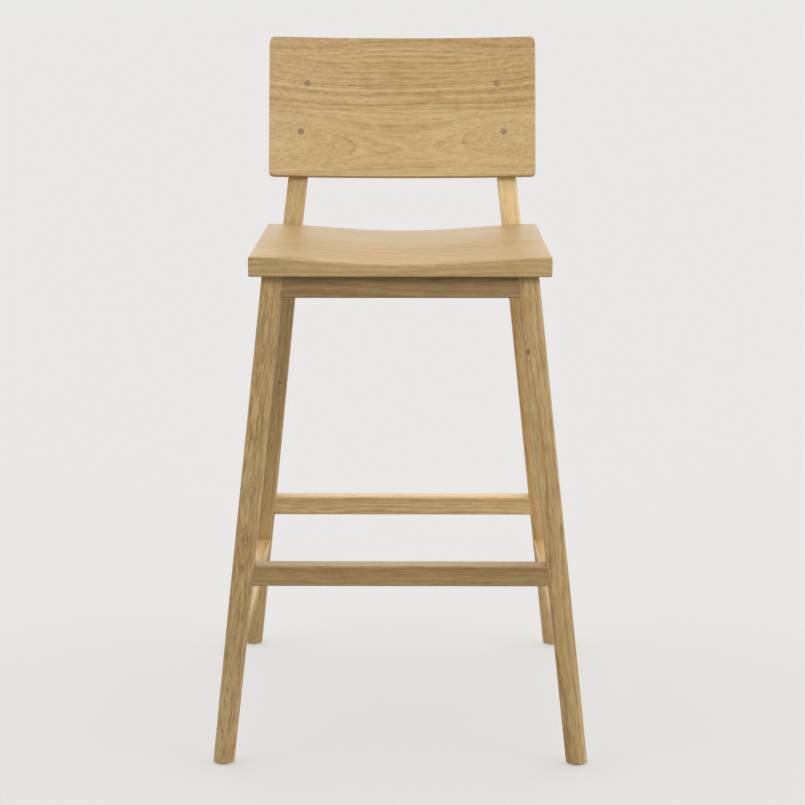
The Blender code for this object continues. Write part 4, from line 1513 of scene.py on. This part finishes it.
    def build_back(self) -> None:
        """Build the backrest with its plugs and screws."""
        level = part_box("seat_panel")[1].z + 0.1798
        middle = Vector((0.0, self.layout.post_face(level), level))
        lean = self.layout.lean
        face = Vector((0.0, -math.cos(lean), math.sin(lean)))
        # The top board is rift-sawn, the middle one straight and the lowest one flat-sawn.
        seams = (Seam(-80.0, (0.0, -36.0, 900.0), 0.05), Seam(6.0, (-201.0, 34.0, 700.0), 0.16))
        back = Backrest(Board(middle, ACROSS, face, Cut.WIDE, run_mm=730.0, tone=-0.07, shade=0.90,
                              bow_mm=-26.0,
                              knots=(Knot((-0.0978, 0.2165, 0.9892), 1.2),), seams=seams), self.layout)
        cutters = back.housings()
        for row in ("upper", "lower"):
            for side in Side:
                name = f"{row}_{side.word}"
                cutters.append(back.build_plug(f"back_plug_{name}"))
                node = f"back_screw_{name}"
                low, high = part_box(node)
                head = (low + high) / 2 - back.lean_back * (self.back_screw / 2)
                self.screw.build(node, head, back.lean_back, self.back_screw)
                cutters.append(self.screw.bore(node, head, back.lean_back, self.back_screw, False))
                self.leg_cutters[End.REAR, side].append(
                    self.screw.bore(node + "_leg", head, back.lean_back, self.back_screw, False))
        back.build(cutters)

    def build(self) -> None:
        """Build every piece of the stool."""
        self.leg_cutters = {(end, side): [] for end in End for side in Side}
        self.build_rails()
        bores = self.build_blocks()
        self.build_back()
        low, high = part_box("seat_panel")
        seams = (Seam(-107.0, (60.0, -10.0, 800.0), 0.05), Seam(-6.0, (-120.0, 30.0, 650.0), -0.06),
                 Seam(99.0, (-190.0, 14.0, 900.0), 0.07))
        seat = SeatPanel(Board((low + high) / 2, ACROSS, UP, Cut.FLAT, run_mm=5230.0, figured=0.9,
                               shade=0.78, tone=0.02, knots=(Knot((-0.2048, -0.2503, 0.7331), 0.7),),
                               seams=seams))
        seat.build(bores)
        for end in End:
            for side in Side:
                self.leg_cutters[end, side].append(Glide(f"glide_{end.word}_{side.word}").build())
        knee = ((self.layout.seat_under - 0.4) / MM, math.tan(self.layout.lean) + 0.28)
        # The legs' shades are partly their wood and partly painted shade where they stand under the seat. The rear legs
        # are painted lighter past the knee, as painted light on the posts above the seat, and the right one's negative
        # tone is painted shade on its lower part.
        figures = {
            (End.FRONT, Side.LEFT): dict(cut=Cut.HEART, run_mm=150.0, shade=0.76, figured=1.7),
            (End.FRONT, Side.RIGHT): dict(cut=Cut.RIFT, run_mm=1830.0, shade=0.79, figured=1.2,
                                          knots=(Knot((0.1823, -0.2441, 0.6068), 3.0),)),
            (End.REAR, Side.LEFT): dict(cut=Cut.RIFT, run_mm=3570.0, shade=0.85, bend=knee, fade=0.12,
                                        knots=(Knot((-0.2015, 0.183, 0.4785), 2.4),)),
            (End.REAR, Side.RIGHT): dict(cut=Cut.RIFT, run_mm=6120.0, tone=-0.12, shade=1.08, figured=0.8,
                                         bend=knee, fade=0.45),
        }
        for (end, side), figure in figures.items():
            Leg(end, side, self.leg_board(end, side, **figure), self.layout).build(self.leg_cutters[end, side])


# ------------------------------------------------------------------------- studio

@dataclass
class Studio:
    """A pale floor, soft light from all round, a softbox in front and the camera.

    Attributes:
        floor_colour: The floor's colour, which fills the view.
        side_light: Radiance of the dome due left and right.
        top_light: Radiance of the dome overhead.
        front_light: Radiance of the dome low in front.
        back_light: Radiance of the dome low behind.
        softbox: Power of the softbox, in watts.
        fill: Shadowless light on the floor, next to the dome's.
        bounce: How much of its light the floor sends back up, as if flagged with grey card.
        reach: Half the floor's size, beyond what any view shows.
    """

    floor_colour: str = "E9E8E7"
    side_light: float = 2.12
    top_light: float = 0.46
    front_light: float = 0.1
    back_light: float = 1.85
    softbox: float = 30.0
    fill: float = 1.0
    bounce: float = 0.5
    reach: float = 400.0

    def build_floor(self) -> bpy.types.Object:
        """Lay the floor and return it."""
        bm = bmesh.new()
        bmesh.ops.create_grid(bm, x_segments=2, y_segments=2, size=self.reach)
        mesh = bpy.data.meshes.new("studio_floor")
        bm.to_mesh(mesh)
        bm.free()
        floor = bpy.data.objects.new("studio_floor", mesh)
        bpy.context.scene.collection.objects.link(floor)
        made = bpy.data.materials.new("paper_backdrop_matt")
        made.use_nodes = True
        tree = made.node_tree
        shader = tree.nodes["Principled BSDF"]
        seen = add_node(tree, "ShaderNodeLightPath").outputs["Is Camera Ray"]
        pale = [value / (1 + self.fill) for value in linear(self.floor_colour)]
        tint = add_node(tree, "ShaderNodeMix",
                        {"Factor": seen, 6: [value * self.bounce for value in pale], 7: pale}, data_type="RGBA")
        tree.links.new(tint.outputs[2], shader.inputs["Base Color"])
        shader.inputs["Roughness"].default_value = 1.0
        shader.inputs["Specular IOR Level"].default_value = 0.0
        mesh.materials.append(made)
        return floor

    def build_dome(self) -> None:
        """Light the scene from a wide dome, brightest overhead and due left and right."""
        world = bpy.data.worlds.new("studio_dome")
        bpy.context.scene.world = world
        world.use_nodes = True
        tree = world.node_tree
        ground = tree.nodes["Background"]
        way = add_node(tree, "ShaderNodeSeparateXYZ", {0: add_node(tree, "ShaderNodeTexCoord").outputs["Generated"]})

        def sum_of(kind: str, *values: object) -> bpy.types.NodeSocket:
            """Return the result of one sum."""
            return add_node(tree, "ShaderNodeMath", dict(enumerate(values)), operation=kind).outputs[0]

        sides, depth, height = (sum_of("MULTIPLY", way.outputs[i], way.outputs[i]) for i in range(3))
        behind = sum_of("GREATER_THAN", way.outputs[1], 0.0)
        ends = sum_of("MULTIPLY_ADD", behind, self.back_light - self.front_light, self.front_light)
        glow = sum_of("MULTIPLY", sides, self.side_light)
        glow = sum_of("MULTIPLY_ADD", height, self.top_light, glow)
        glow = sum_of("MULTIPLY_ADD", depth, ends, glow)
        seen = add_node(tree, "ShaderNodeLightPath").outputs["Is Camera Ray"]
        tint = add_node(tree, "ShaderNodeMix", {"Factor": seen, 6: (1.0, 1.0, 1.0, 1.0), 7: linear(self.floor_colour)},
                        data_type="RGBA").outputs[2]
        strength = add_node(tree, "ShaderNodeMix", {"Factor": seen, 2: glow, 3: 1.0}, data_type="FLOAT").outputs[0]
        tree.links.new(tint, ground.inputs["Color"])
        tree.links.new(strength, ground.inputs["Strength"])

    def build_softbox(self, floor: bpy.types.Object) -> None:
        """Hang a softbox high in front and to the right, flagged off the floor."""
        lamp = bpy.data.lights.new("softbox", "AREA")
        lamp.shape = "RECTANGLE"
        lamp.size = 1.2
        lamp.size_y = 0.9
        lamp.energy = self.softbox
        box = bpy.data.objects.new("softbox", lamp)
        bpy.context.scene.collection.objects.link(box)
        box.location = (1.2, -2.1, 2.15)
        box.rotation_euler = (Vector((0.0, 0.1, 0.8)) - box.location).to_track_quat("-Z", "Y").to_euler()
        flagged = bpy.data.collections.new("flagged_off")
        flagged.objects.link(floor)
        box.light_linking.receiver_collection = flagged
        flagged.collection_objects[0].light_linking.link_state = "EXCLUDE"

    def build_fill(self, floor: bpy.types.Object) -> None:
        """Wash the floor alone with light from overhead that the stool does not shade."""
        lamp = bpy.data.lights.new("floor_wash", "SUN")
        lamp.energy = math.pi * self.fill
        wash = bpy.data.objects.new("floor_wash", lamp)
        bpy.context.scene.collection.objects.link(wash)
        washed = bpy.data.collections.new("washed")
        washed.objects.link(floor)
        wash.light_linking.receiver_collection = washed
        wash.light_linking.blocker_collection = washed

    def build_camera(self) -> None:
        """Set up the camera in front of the seat, looking slightly down."""
        seat_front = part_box("seat_panel")[0].y
        camera = bpy.data.cameras.new("studio_camera")
        camera.sensor_width = 36.0
        camera.lens = 91.81
        camera.clip_end = 2000.0
        view = bpy.data.objects.new("studio_camera", camera)
        bpy.context.scene.collection.objects.link(view)
        view.location = (0.0214, seat_front - 2.8795, 1.1267)
        view.rotation_euler = (math.pi / 2 - 0.2029, 0.0, 0.0063)
        bpy.context.scene.camera = view

    def build(self) -> None:
        """Set the studio up."""
        bpy.context.scene.view_settings.view_transform = "Standard"
        self.build_camera()
        floor = self.build_floor()
        self.build_dome()
        self.build_softbox(floor)
        self.build_fill(floor)


def main() -> None:
    """Build the studio and the stool, and log the size of each stool piece."""
    logging.basicConfig(level=logging.INFO, format="%(message)s")
    Studio().build()
    Stool().build()


if __name__ == "__main__":
    main()
